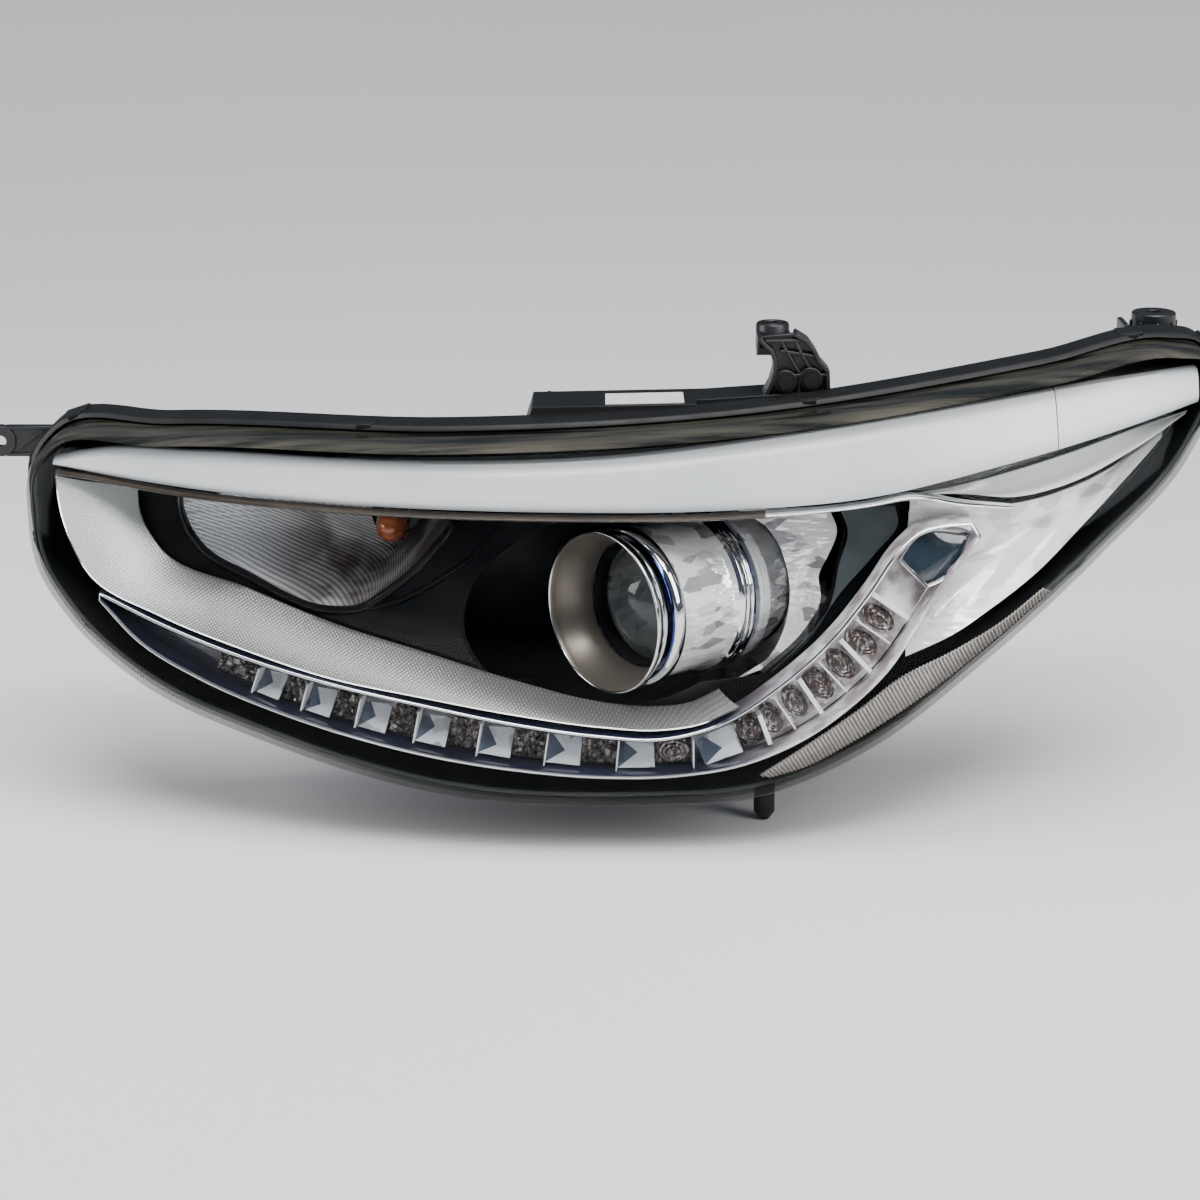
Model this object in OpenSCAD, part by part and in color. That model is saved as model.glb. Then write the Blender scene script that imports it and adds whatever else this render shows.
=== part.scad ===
// Left-hand projector headlight assembly of a compact car.
// Sizes are in millimetres, +Z is up, the car faces -Y and the fender side is +X.
// The lamp is drawn in its own lamp frame and then swept back round the fender:
//   s runs along the lamp from the grille end to the fender end,
//   t runs backwards from the lens, z runs up.

/* [Lamp] */
// Angle that the lamp is swept back round the fender
sweep = 48; // [47:1:49]
// How far the lens bows forward over its half length
lens_bow = 72; // [70:1:74]
// Half length over which the bow is measured
half_length = 325; // [320:1:330]
// How far the middle of the lens lies in front of the lamp frame's zero
lens_front = 40; // [38:1:42]
// Backward lean of the lens for each millimetre of height
lens_rake = 0.18; // [0.16:0.01:0.2]
// Wall of the clear lens
lens_wall = 3; // [2.5:0.5:3]
// Depth of the lens skirt behind the lens face
skirt_depth = 52; // [50:1:52]
// Wall of the black housing
housing_wall = 3; // [2.5:0.5:3]
// Place of the housing's rear wall at the middle of the lamp
rear_wall = 120; // [119:1:122]

/* [Projector] */
// Outer radius of the flared trumpet at its front rim
trumpet_r = 46; // [45:0.5:46]
// Radius of the glass projector lens
glass_r = 34.5; // [34:0.5:34.5]
// Radius of the chrome barrel's rear ring
barrel_r = 48; // [47.5:0.5:48.5]
// Radius of the opening in the bezel round the projector
bezel_hole_r = 55; // [55:0.5:56]
// Distance of the aiming pivots behind the trumpet rim
pivot_depth = 112; // [111:1:112]
// Radius of the aiming pivot pins
pivot_r = 3; // [2.5:0.5:3]

/* [Daytime running light] */
// Number of light cells in the lower strip
cells = 12; // [12]
// Number of light sources behind the white bar
bar_lights = 18; // [16:1:18]

/* [Mounting] */
// Radius of the bolt holes in the upper and outer brackets
bolt_r = 4.3; // [4:0.1:4.5]
// Radius of the hole in the grille-side tab
tab_hole_r = 3.3; // [3:0.1:3.5]
// Radius of the lower locating pin
pin_r = 6; // [5.5:0.5:6.5]

/* [Rear covers] */
// Radius of the bulb access cover
cap_r = 46; // [45:0.5:46]
// Radius of the indicator bulb holder's flange
socket_r = 21; // [20:0.5:21]
// Running clearance between turning and sliding fits
fit = 0.05; // [0.03:0.01:0.08]

/* [Hidden] */
$fn = 64;

// The upper bracket's bolt hole, in the lamp frame; it becomes the origin
bolt_at = [98, 92, 131];
// Middle of the trumpet's front rim, in the lamp frame
rim_at = [1, 5, -9];
// Places of the rear fittings in the lamp frame, as [s, z]
cap_at = [130, -6];
turn_at = [-118, 26];
marker_at = [244, 36];
// Ball of the leveller and head of the side aiming screw, behind the rim and off the axis
leveller_x = -28;
leveller_z = -63;
screw_x = -42;
screw_z = 48;
// How fast the rear wall falls back towards the fender end
rear_slope = 0.1;

// ---- Places ----

// Depth of the lens face at a place along and up the lamp
function face(s, z) =
    -lens_front + lens_bow * (s / half_length) ^ 2 + lens_rake * z + z * z / 700;
// Depth of the rear wall
function rear(s) = rear_wall + rear_slope * s;
// Point behind the lens face, at a depth below it
function behind(p, depth) = [p.x, face(p.x, p.y) + depth, p.y];
// Point on the rear wall
function on_rear(p, out = 0) = [p.x, rear(p.x) + out, p.y];
// A lamp-frame point in the part's own frame
function in_car(p) = let (q = p - bolt_at)
    [q.x * cos(sweep) - q.y * sin(sweep), q.x * sin(sweep) + q.y * cos(sweep), q.z];

// Draws children given in the lamp frame
module in_lamp() {
    rotate([0, 0, sweep]) translate(-bolt_at) children();
}

// Draws children standing on the lens face, their Y pointing into the lamp
module on_face(p, depth) {
    turn = atan(2 * lens_bow * p.x / half_length ^ 2);
    lean = atan(lens_rake + 2 * p.y / 700);
    translate(behind(p, depth)) rotate([-lean, 0, turn]) children();
}

// Draws children standing on the outside of the rear wall, their Y pointing out of it
module on_wall(p, out) {
    translate(on_rear(p, out)) rotate([0, 0, atan(rear_slope)]) children();
}

// A cylinder along the lamp's depth
module rod_t(p, h, r, r2 = undef) {
    translate(p) rotate([-90, 0, 0]) cylinder(h = h, r1 = r, r2 = is_undef(r2) ? r : r2);
}

// Draws children round the projector's axis, their Z pointing to the rear of the car,
// their X to the fender and their Y down
module on_projector(back = 0) {
    translate(in_car(rim_at) + [0, back, 0]) rotate([-90, 0, 0]) children();
}

// Draws children upright in the part's frame at a place off the projector's axis
module at_projector(x, back, z) {
    translate(in_car(rim_at) + [x, back, z]) children();
}

// A turned solid round the projector's axis, from [radius, distance behind the rim]
module turned(profile) {
    on_projector() rotate_extrude($fn = 96) polygon(profile);
}

// ---- Smooth curves through a few points ----

function knot(P, i, closed) =
    P[closed ? (i + len(P)) % len(P) : max(0, min(len(P) - 1, i))];
function slope(P, i, closed) =
    let (a = knot(P, i - 1, closed), b = knot(P, i, closed), c = knot(P, i + 1, closed))
    let (da = norm(b - a), dc = norm(c - b))
    da == 0 ? (c - b) / dc
    : dc == 0 ? (b - a) / da
    : ((b - a) / da * dc + (c - b) / dc * da) / (da + dc);
function span(P, i, f, closed) =
    let (a = knot(P, i, closed), b = knot(P, i + 1, closed), d = norm(b - a))
    (2 * f ^ 3 - 3 * f ^ 2 + 1) * a + (f ^ 3 - 2 * f ^ 2 + f) * d * slope(P, i, closed)
    + (3 * f ^ 2 - 2 * f ^ 3) * b + (f ^ 3 - f ^ 2) * d * slope(P, i + 1, closed);
// A closed curve, with k steps between its points
function loop(P, k) = [for (i = [0:len(P) - 1]) for (j = [0:k - 1]) span(P, i, j / k, true)];
// Distance along an open curve to each of its points
function runs(P) =
    [for (i = 0, d = 0; i < len(P); d = d + norm(knot(P, i + 1, false) - P[i]), i = i + 1) d];
function along(P, R, u) =
    let (i = max([for (j = [0:len(P) - 2]) if (R[j] <= u) j]))
    span(P, i, (u - R[i]) / (R[i + 1] - R[i]), false);
// Point at a part of the way along an open curve
function at(P, f) = let (R = runs(P)) along(P, R, R[len(P) - 1] * f);
// An open curve in n equal steps
function walk(P, n) = let (R = runs(P)) [for (j = [0:n]) along(P, R, R[len(P) - 1] * j / n)];
// A closed clockwise curve moved inwards by d
function inset(Q, d) = let (n = len(Q))
    [for (i = [0:n - 1])
        let (v = Q[(i + 1) % n] - Q[(i + n - 1) % n], w = v / norm(v)) Q[i] + d * [w.y, -w.x]];

// ---- Solids from rows of points ----

// A closed skin over rings of equal length, with its faces turned to look outwards. It wraps
// round like a tyre, or its ends are closed: flat, or each to one of the two given points.
// A hollow end is closed in quads, where the points of its front and back face each other.
module skin(rings, ends = undef, paired = false) {
    n = len(rings[0]);
    m = len(rings);
    wrap = is_undef(ends);
    sides = [for (j = [0:wrap ? m - 1 : m - 2]) for (i = [0:n - 1])
        let (a = j * n + i, b = j * n + (i + 1) % n)
        let (c = (j + 1) % m * n + (i + 1) % n, d = (j + 1) % m * n + i)
        each [[a, b, c], [a, c, d]]];
    caps = wrap ? []
        : paired ? [for (i = [0:n / 2 - 2]) each [[n - 1 - i, n - 2 - i, i + 1, i],
            [for (k = [i, i + 1, n - 2 - i, n - 1 - i]) (m - 1) * n + k]]]
        : len(ends) == 0 ? [[for (i = [n - 1:-1:0]) i], [for (i = [0:n - 1]) (m - 1) * n + i]]
        : [for (i = [0:n - 1]) each [[m * n, (i + 1) % n, i],
            [m * n + 1, (m - 1) * n + i, (m - 1) * n + (i + 1) % n]]];
    points = concat([for (r = rings) each r], wrap ? [] : ends);
    faces = concat(sides, caps);
    volume = [for (f = faces) for (k = [1:len(f) - 2])
        points[f[0]] * cross(points[f[k]], points[f[k + 1]])] * [for (f = faces) each
        [for (k = [1:len(f) - 2]) 1]];
    polyhedron(points, volume < 0 ? faces : [for (f = faces) [for (k = [len(f) - 1:-1:0]) f[k]]]);
}

// A strip between the curves A and B. Its section is a list of [part of the way from A to B,
// depth behind the lens face] that goes once round the section.
module band(A, B, section, n, paired = false) {
    a = walk(A, n);
    b = walk(B, n);
    rings = [for (i = [0:n]) [for (q = section) behind(a[i] + (b[i] - a[i]) * q[0], q[1])]];
    skin(rings, [], paired);
}
// A strip's section with a flat front, from depth a at A to depth b at B
function flat(a, b, wall) = [[0, a], [1, b], [1, b + wall], [0, a + wall]];

// A band all round a closed clockwise curve, from a section of [inset, depth]
module hoop(Q, section) {
    skin([for (q = section) [for (p = inset(Q, q[0])) behind(p, q[1])]]);
}

// A shell over the whole lamp outline: the rim rows are [inset, depth], from the middle of
// the front out round the edge and back inside, and the inner rows are scaled from them.
module lamp_shell(rim, front_depth, back_depth) {
    scales = [0.2, 0.5, 0.75, 0.9];
    first = rim[0][0];
    last = rim[len(rim) - 1][0];
    rings = concat(
        [for (k = scales) shell_row(first, k, front_depth)],
        [for (q = rim) [for (p = inset(OUTLINE, q[0])) behind(p, q[1])]],
        [for (i = [3:-1:0]) shell_row(last, scales[i], back_depth)]);
    skin(rings, [behind([0, 0], front_depth), behind([0, 0], back_depth)]);
}
function shell_row(d, k, depth) = [for (p = inset(OUTLINE, d)) behind(p * k, depth)];

// ---- Outlines on the lens face, as [s, z] ----

// Edge of the lens, clockwise from the grille end
OUTLINE = loop([
    [-323, 34], [-322, 60], [-310, 75], [-245, 83], [-82, 87], [82, 96], [252, 114],
    [328, 122], [348, 117], [352, 100], [334, 66], [281, 19], [210, -37], [148, -81],
    [89, -105], [22, -109], [-78, -105], [-188, -78], [-258, -51], [-300, -18], [-318, 8]
], 2);

bar_top = [[-308, 65.5], [-280, 72], [-221, 75], [-109, 75], [0, 79], [109, 90], [222, 102],
    [281, 107], [341, 110]];
bar_low = [[-308, 62], [-292, 60.5], [-244, 57], [-136, 53], [-32, 52], [76, 52.5], [147, 56],
    [221, 68], [280, 79], [341, 92]];
bar_edge = [[-306, 59.5], [-292, 59], [-244, 55], [-136, 51], [-32, 50], [76, 50.5], [147, 54],
    [172, 57], [200, 52], [228, 48]];
bar_edge_low = [[-306, 57.5], [-292, 57], [-244, 53], [-136, 49], [-32, 48], [76, 48.5],
    [147, 52], [172, 54.5], [200, 49], [228, 46]];

trim_outer = [[-307, 56], [-303, 35], [-286, 4], [-245, -14], [-199, -28], [-149, -41],
    [-99, -49], [-44, -58], [0, -64], [33, -66], [55, -63], [76, -54]];
trim_inner = [[-262, 49], [-260, 34], [-248, 16], [-196, -2], [-145, -19], [-100, -31],
    [-44, -47.2], [0, -58.2], [28, -61], [50, -59], [66, -51.6]];

strip_top = [[-280, -5], [-245, -18], [-199, -32], [-148, -44], [-99, -53], [-44, -63],
    [0, -69], [33, -71], [66, -63], [98, -43], [126, -19], [148, 7], [163, 27], [176, 37],
    [192, 40]];
strip_low = [[-280, -8], [-257, -29], [-223, -46], [-177, -62], [-132, -74], [-88, -83],
    [-44, -89], [0, -92.5], [44, -92], [77, -87], [110, -74], [138, -55], [158, -36],
    [172, -16], [188, 8], [209, 33]];

patch_top = [[88, -93], [110, -79], [143, -57], [165, -41], [193, -29], [221, -15], [246, 2]];
patch_low = [[94, -95], [112, -90], [138, -77], [165, -61], [199, -38], [222, -21], [250, 0]];

gloss_top = [[172, 52], [200, 47.5], [228, 44], [262, 49], [300, 63], [330, 80]];
gloss_low = [[170, -35], [196, -25], [220, -11], [244, 5], [273, 30], [321, 72]];
satin_top = [[175, 57], [200, 60], [228, 65], [262, 72], [300, 81], [334, 88]];
satin_low = [[178, 55.5], [202, 54], [230, 50.5], [262, 55], [300, 69], [334, 85.5]];

window_top = [[166, 24], [177, 35], [198, 34]];
window_low = [[178, 12], [184, 14], [192, 23]];
panel_inner = [[70, 46], [93, 33], [106, 0], [94, -40], [66, -57]];
panel_outer = [[126, 46], [132, 31], [127, 18], [122, 8], [123, -6], [114, -22], [90, -44]];

// Opening beside the projector
side_opening = [[40, 45], [146, 46], [154, 38], [136, 12], [112, -12], [88, -34], [62, -47],
    [40, -50]];

// Mouth of the indicator's reflector, clockwise
turn_mouth = loop([[-236, 44], [-214, 48], [-150, 48], [-96, 46], [-84, 40], [-94, 24],
    [-120, 0], [-134, -9], [-152, -11], [-198, 5], [-224, 18], [-233, 30]], 2);

// ---- Housing and lens ----

// A row of the housing from an inset, a scale, a depth and how far it lies on the rear wall
function housing_row(q) = [for (p = inset(OUTLINE, q[0]))
    let (v = p * q[1], t = face(v.x, v.y) + q[2])
    [v.x, t + (max(t, rear(v.x) + q[2] - 80) - t) * q[3], v.y]];

module housing_shell() {
    w = housing_wall;
    rows = [
        [12, 0.15, 80, 1], [12, 0.4, 80, 1], [12, 0.7, 80, 1], [12, 0.9, 80, 1],
        [9, 0.96, 80, 0.75], [5, 1, 74, 0], [2, 1, 63, 0], [-4, 1, 60, 0], [-4, 1, 38, 0],
        [-1.2, 1, 38, 0], [-1.2, 1, 57.5, 0], [3.8, 1, 57.5, 0], [3.8, 1, 46, 0], [6, 1, 46, 0],
        [6, 1, 62, 0], [8, 1, 73, 0], [12, 0.95, 78 - w, 0.7], [12, 0.87, 80 - w, 1],
        [12, 0.7, 80 - w, 1], [12, 0.4, 80 - w, 1], [12, 0.15, 80 - w, 1]
    ];
    skin([for (q = rows) housing_row(q)], [[0, rear(0), 0], [0, rear(0) - w, 0]]);
}

// Line of the leveller's push rod, along the car, from a distance behind the rim
module leveller_line(back) {
    translate(in_car(rim_at) + [leveller_x, back, leveller_z]) rotate([-90, 0, 0]) children();
}
module screw_line(back) {
    translate(in_car(rim_at) + [screw_x, back, screw_z]) rotate([-90, 0, 0]) children();
}

module housing() {
    color("#1a1b1d") difference() {
        union() {
            in_lamp() {
                housing_shell();
                rod_t(on_rear(cap_at, -5), 17, cap_r - 4);
                rod_t(on_rear(turn_at, -3), 12, socket_r - 3);
                rod_t(on_rear(marker_at, -8), 15, 10.5);
                // Raised roof that carries the label
                translate([0, 50, 0]) rotate([-90, 0, 0]) linear_extrude(40)
                    polygon([[-42, -84], [-38, -97], [54, -98.8], [54, -84]]);
                translate([0, 61.5, 0]) rotate([-90, 0, 0]) linear_extrude(28.5)
                    polygon([[53, -82], [53, -98.8], [60, -99], [118, -103], [126, -82]]);
            }
            leveller_line(139) cylinder(h = 35, r = 13);
            screw_line(128) cylinder(h = 24.7, r = 8);
        }
        in_lamp() {
            rod_t(on_rear(cap_at, -20), 50, cap_r - 8);
            rod_t(on_rear(turn_at, -20), 50, socket_r - 6);
            rod_t(on_rear(marker_at, -30), 60, 8);
        }
        leveller_line(130) cylinder(h = 60, r = 9.5);
        screw_line(110) cylinder(h = 60, r = 4 + fit);
    }
}

module lens() {
    color("#e8f0f4", 0.3) in_lamp() lamp_shell(
        [[10, 0], [5, 2], [1.5, 7], [0, 15], [0, skirt_depth], [2.6, skirt_depth], [2.6, 16],
            [4, 9], [7, 5], [12, lens_wall]], 0, lens_wall);
}

module lens_seal() {
    color("#202020") in_lamp()
        hoop(OUTLINE, [[-0.8, 57], [-0.8, 52.6], [3.4, 52.6], [3.4, 57]]);
}

// ---- Bezels, trims and light guides behind the lens ----

module main_bezel() {
    color("#0d0e10") difference() {
        in_lamp() difference() {
            lamp_shell([[8.2, 46], [5.2, 18], [3.4, 17], [3.4, 19], [4, 20.5], [7, 48]], 46, 48);
            translate([0, -60, 0]) rotate([-90, 0, 0]) linear_extrude(200)
                polygon([for (p = turn_mouth) [p.x, -p.y]]);
            translate([0, -60, 0]) rotate([-90, 0, 0]) linear_extrude(200)
                polygon([for (p = concat(walk(gloss_top, 8), [[328, 72]],
                    [for (i = [8:-1:0]) walk(gloss_low, 8)[i]])) [p.x, -p.y]]);
        }
        on_projector(-60) cylinder(h = 240, r = bezel_hole_r);
        // The opening goes on beside the barrel, towards the chrome panel
        in_lamp() translate([0, -60, 0]) rotate([-90, 0, 0]) linear_extrude(200)
            polygon([for (p = side_opening) [p.x, -p.y]]);
    }
}

module silver_trim() {
    color("#b9bdb8") in_lamp() band(trim_outer, trim_inner,
        [[0, 18], [0.3, 22], [0.7, 31], [1, 41], [1, 43], [0.7, 33], [0.3, 24], [0, 20]], 30);
}

module light_bar() {
    color("#dfe4e5") in_lamp() band(bar_top, bar_low,
        [[0, 18], [0.12, 15.5], [0.35, 14.4], [0.65, 14.4], [0.88, 15.5], [1, 18], [1, 28],
            [0, 28]], 32);
}

module light_bar_trim() {
    color("#cfd2d3") in_lamp() band(bar_edge, bar_edge_low,
        [[0, 14], [0.5, 12.8], [1, 14], [1, 24], [0, 24]], 26);
}

module light_bar_carrier() {
    color("#111214") in_lamp() band(bar_top, bar_low,
        [[0.05, 29], [0.2, 29], [0.2, 38], [0.8, 38], [0.8, 29], [0.95, 29], [0.95, 41],
            [0.05, 41]], 22);
}

module light_bar_board() {
    color("#1f5a36") in_lamp() band(bar_top, bar_low, [[0.24, 35.8], [0.76, 35.8],
        [0.76, 37.4], [0.24, 37.4]], 22);
}

module light_bar_leds() {
    color("#f4e9b0") in_lamp() for (i = [1:bar_lights])
        let (f = (i - 0.3) / (bar_lights + 0.6)) on_face((at(bar_top, f) + at(bar_low, f)) / 2, 34)
            cube([4, 2.4, 3], center = true);
}

module satin_fillet() {
    color("#a9aeac") in_lamp() band(satin_top, satin_low,
        [[0, 17], [0.5, 21], [1, 22], [1, 24], [0.5, 23], [0, 19]], 14);
}

strip_loop = concat(walk(strip_top, 34), [[204, 40]], [for (i = [34:-1:0]) walk(strip_low, 34)[i]]);

module drl_frame() {
    color("#d5d8da") in_lamp()
        hoop(strip_loop, [[-1.4, 15], [0, 13.5], [1.2, 15], [1.2, 34], [-1.4, 34]]);
}

module drl_lens() {
    color("#f2f6f8", 0.4) in_lamp() band(walk_in(strip_top, strip_low, 0.09),
        walk_in(strip_top, strip_low, 0.91), flat(17, 17, 2.5), 34);
}
// The curve that lies a part of the way from one edge curve to the other
function walk_in(A, B, f) =
    let (a = walk(A, 34), b = walk(B, 34)) [for (i = [2:33]) a[i] + (b[i] - a[i]) * f];

// Place of a light cell: part of the way along the strip. The cells grow longer up to the
// foot of the rise, and are even above it.
function cell(i) = let (k = i * 11 / (cells - 1))
    0.1475 + (k <= 8 ? 0.0499 * k + 0.00211 * k ^ 2 : 0.5341 + 0.0628 * (k - 8));
function cell_mid(i) = let (f = cell(i)) (at(strip_top, f) + at(strip_low, f)) / 2;

module drl_reflector() {
    color("#dfe2e4") in_lamp() difference() {
        union() {
            band(walk_in(strip_top, strip_low, 0.1), walk_in(strip_top, strip_low, 0.9),
                flat(32, 32, 1.6), 34);
            for (i = [0:cells - 2]) divider((cell(i) + cell(i + 1)) / 2);
        }
        for (i = [0:cells - 1]) on_face(cell_mid(i), 36.2) translate([0, -4, 0])
            cube([7, 12, 7], center = true);
    }
}

// A thin wall across the strip between two cells
module divider(f) {
    band([at(strip_top, f - 0.0012), at(strip_top, f + 0.0012)],
        [at(strip_low, f - 0.0012), at(strip_low, f + 0.0012)],
        [[0.1, 22], [0.9, 22], [0.9, 32.5], [0.1, 32.5]], 1);
}

module drl_board() {
    color("#1f5a36") in_lamp() band(walk_in(strip_top, strip_low, 0.12),
        walk_in(strip_top, strip_low, 0.88), flat(36.5, 36.5, 1.6), 34);
}

module drl_leds() {
    color("#f4e9b0") in_lamp() for (i = [0:cells - 1])
        on_face(cell_mid(i), 36.2) translate([0, -4, 0]) {
            translate([-2.5, 0, -2.5]) cube([5, 4, 5]);
            translate([0, 0.4, 0]) sphere(r = 2.2);
        }
}

module end_window() {
    color("#3b4654") in_lamp() band(window_top, window_low, flat(21, 21, 2), 6);
}

module outer_reflector() {
    color("#e4e6e8") in_lamp() difference() {
        band(gloss_top, gloss_low, [[0, 33], [0.12, 43], [0.38, 52], [0.66, 53], [0.86, 43],
            [1, 32], [1, 37], [0.86, 48], [0.66, 58], [0.38, 57], [0.12, 48], [0, 38]], 20, true);
        rod_t([marker_at.x, 40, marker_at.y], 100, 9);
    }
}

module ribbed_trim() {
    color("#b7afa5") in_lamp() band(patch_top, patch_low, flat(11.5, 13, 2.5), 18);
}

module turn_reflector() {
    back = [for (i = [0:23]) let (a = atan2(turn_mouth[i].y - 22, turn_mouth[i].x + 150))
        [cos(a), sin(a)]];
    // Rows of the bowl: how far from the mouth to the lamp hole, and the depth
    steps = [[0, 0], [0.3, 0.5], [0.62, 0.84], [1, 1]];
    rows = [for (q = steps) [for (i = [0:23]) bowl_point(i, back[i], q[0], q[1], 0)]];
    outer = [for (j = [3:-1:0]) [for (i = [0:23])
        bowl_point(i, back[i], steps[j][0], steps[j][1], 2)]];
    color("#c9ccd0") in_lamp() skin(concat(rows, outer));
}
// A point of the indicator's bowl between its mouth and the hole for the lamp
function bowl_point(i, dir, f, g, wall) =
    let (m = turn_mouth[i], hole = turn_at + dir * 14, start = face(m.x, m.y) + 50)
    let (p = m + (hole - m) * f + dir * wall * (1 - f * 0.5))
    [p.x, start + (88 - start) * g + wall * 0.9, p.y];

module projector_surround() {
    color("#d9dcde") in_lamp() band(panel_inner, panel_outer,
        [[0, 56.5], [0.5, 56], [1, 51], [1, 53], [0.5, 58], [0, 58.5]], 12, true);
}

// ---- Indicator, marker and their holders ----

module turn_bulb() {
    color("#c8741c") in_lamp() {
        rod_t([turn_at.x, 58, turn_at.y], 22, 9.2, 9.6);
        translate([turn_at.x, 58, turn_at.y]) sphere(r = 9.2);
        rod_t([turn_at.x, 80, turn_at.y], 26, 7.5);
    }
}

// A bulb holder with a round flange and a grip across it, at a place on the rear wall
module holder(p, r, neck, out, reach) {
    base = on_rear(p, out);
    difference() {
        union() {
            rod_t(base, 5, r);
            rod_t(base - [0, reach, 0], reach, neck);
            translate(base + [-r * 0.8, 4, -4]) cube([r * 1.6, 14, 8]);
            translate(base + [-8, 4, -r * 0.6]) cube([16, 16, r * 1.2]);
        }
        translate(base + [-5, 8, -r * 0.4]) cube([10, 20, r * 0.8]);
    }
}

module turn_socket() {
    color("#4a4d50") in_lamp() difference() {
        holder(turn_at, socket_r, socket_r - 6.4, 12.3, 22);
        rod_t(on_rear(turn_at, -14), 16, 7.9);
    }
}

module turn_seal() {
    color("#26272a") in_lamp() difference() {
        rod_t(on_rear(turn_at, 9.3), 2.7, socket_r - 1);
        rod_t(on_rear(turn_at, 0), 20, socket_r - 6);
    }
}

module marker_bulb() {
    color("#f2efe6") in_lamp() {
        rod_t([marker_at.x, 64, marker_at.y], 42, 4.8);
        translate([marker_at.x, 64, marker_at.y]) sphere(r = 4.8);
    }
}

module marker_socket() {
    color("#4a4d50") in_lamp() difference() {
        holder(marker_at, 14, 7.6, 10.3, 60);
        rod_t(on_rear(marker_at, -52), 16, 5.2);
    }
}

module marker_seal() {
    color("#26272a") in_lamp() difference() {
        rod_t(on_rear(marker_at, 7.3), 2.7, 13);
        rod_t(on_rear(marker_at, 0), 20, 8.4);
    }
}

// ---- Projector ----

module trumpet() {
    r = trumpet_r;
    color("#8f897e") turned([[r - 0.8, 0], [r, 0.8], [r - 1.4, 6], [r - 4.6, 13],
        [r - 7.4, 20], [r - 8.4, 25], [r - 9.8, 25], [r - 8.9, 20], [r - 6, 12.6],
        [r - 2.8, 5.6], [r - 1.6, 0.8]]);
}

module barrel() {
    r = barrel_r;
    color("#dcdfe1") turned([[42.6, 13.5], [45, 13.5], [46.4, 15], [46.4, 20], [45, 21.5],
        [43.8, 22.5], [43.8, 59], [46, 62], [r - 1, 63], [r, 64.2], [r, 65.6], [r - 1.4, 66.6],
        [r, 67.6], [r, 69], [r - 1.4, 70], [r, 71], [r, 72.6], [r - 2, 74], [42, 74], [42, 24],
        [42.6, 20]]);
}

// The domed glass: a flange and an aspheric front
module projector_lens() {
    dome = 17;
    color("#8d9498", 0.6) turned(concat([[0, 36.5], [0, 34 - dome]],
        [for (i = [1:14]) let (a = i / 14) [(glass_r - 1.6) * a, 34 - dome * (1 - a ^ 2.2)]],
        [[glass_r, 34], [glass_r, 36.5]]));
}

module lens_ring() {
    color("#131416") turned([[glass_r - 1.4, 30.6], [glass_r + 0.4, 26.6], [37, 26.6],
        [37, 33.6], [glass_r - 1.4, 33.6]]);
}

module lens_holder() {
    color("#6f7276") difference() {
        turned([[37.3, 28], [38.8, 28], [38.8, 77], [46, 78], [46, 81], [40, 81], [36, 72],
            [33, 66], [33, 36.9], [glass_r + 0.3, 36.9], [glass_r + 0.3, 33.8], [37.3, 33.8]]);
        // Slot for the shutter's lever and bores for its spindle
        at_projector(-5, 70, -56) cube([10, 16, 26]);
        at_projector(-40, 75.5, -24) rotate([0, 90, 0]) cylinder(h = 80, r = 1 + fit);
    }
}

module projector_bowl() {
    inner = [for (i = [0:9]) let (d = 84 + i * 5.8) [40 * sqrt(1 - ((d - 84) / 56) ^ 2), d]];
    outer = [for (i = [9:-1:0]) let (q = inner[i]) [q[0] + 2.5, q[1]]];
    color("#b4b8bb") difference() {
        union() {
            turned(concat([[40, 81.4]], inner, [[12, 140]], [[22, 140], [22, 136], [21, 134]], outer,
                [[42.5, 86], [46, 86], [46, 81.4]]));
            // Pins of the side-to-side aiming pivot
            at_projector(0, pivot_depth, 35) cylinder(h = 21, r = pivot_r);
            at_projector(0, pivot_depth, -56) cylinder(h = 21, r = pivot_r);
        }
        at_projector(-5, 80, -56) cube([10, 4.2, 20]);
    }
    color("#b4b8bb") {
        clip_eye(9.8);
        clip_eye(-12.8);
    }
}

// An eye that holds the bulb clip's hinge
module clip_eye(z) {
    at_projector(-19, 145, z) difference() {
        union() {
            cylinder(h = 3, r = 2.6);
            translate([-2.6, -9, 0]) cube([5.2, 9, 3]);
        }
        translate([0, 0, -1]) cylinder(h = 5, r = 0.8 + fit);
    }
}

module shutter() {
    color("#77797c") {
        on_projector(74.7) linear_extrude(1.6) union() {
            intersection() {
                circle(r = 31);
                translate([-31, 0]) square([62, 23]);
            }
            translate([-3.5, 20]) square([7, 31]);
        }
        at_projector(-32, 75.5, -24) rotate([0, 90, 0]) cylinder(h = 64, r = 1);
    }
}

module solenoid() {
    color("#3d4044") at_projector(0, 86.5, -49.5) difference() {
        union() {
            translate([-11, 0, -12]) cube([22, 17.5, 18]);
            translate([-14, 3, -9]) cube([28, 4, 6]);
        }
        rotate([-90, 0, 0]) translate([0, 0, -1]) cylinder(h = 20, r = 1.8 + fit);
    }
}

module solenoid_plunger() {
    color("#c4c7c9") at_projector(0, 77, -49.5) rotate([-90, 0, 0]) {
        cylinder(h = 20, r = 1.8);
        cylinder(h = 1.6, r = 3);
    }
}

module low_beam_bulb() {
    color("#e9e4d2") turned([[0, 100], [3.4, 101.4], [5.2, 105], [5.4, 112], [5.4, 134],
        [9, 134], [9, 140.3], [13.5, 140.3], [13.5, 143], [0, 143]]);
    color("#2a2b2d") at_projector(-7, 142, -6) cube([14, 15, 12]);
}

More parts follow.
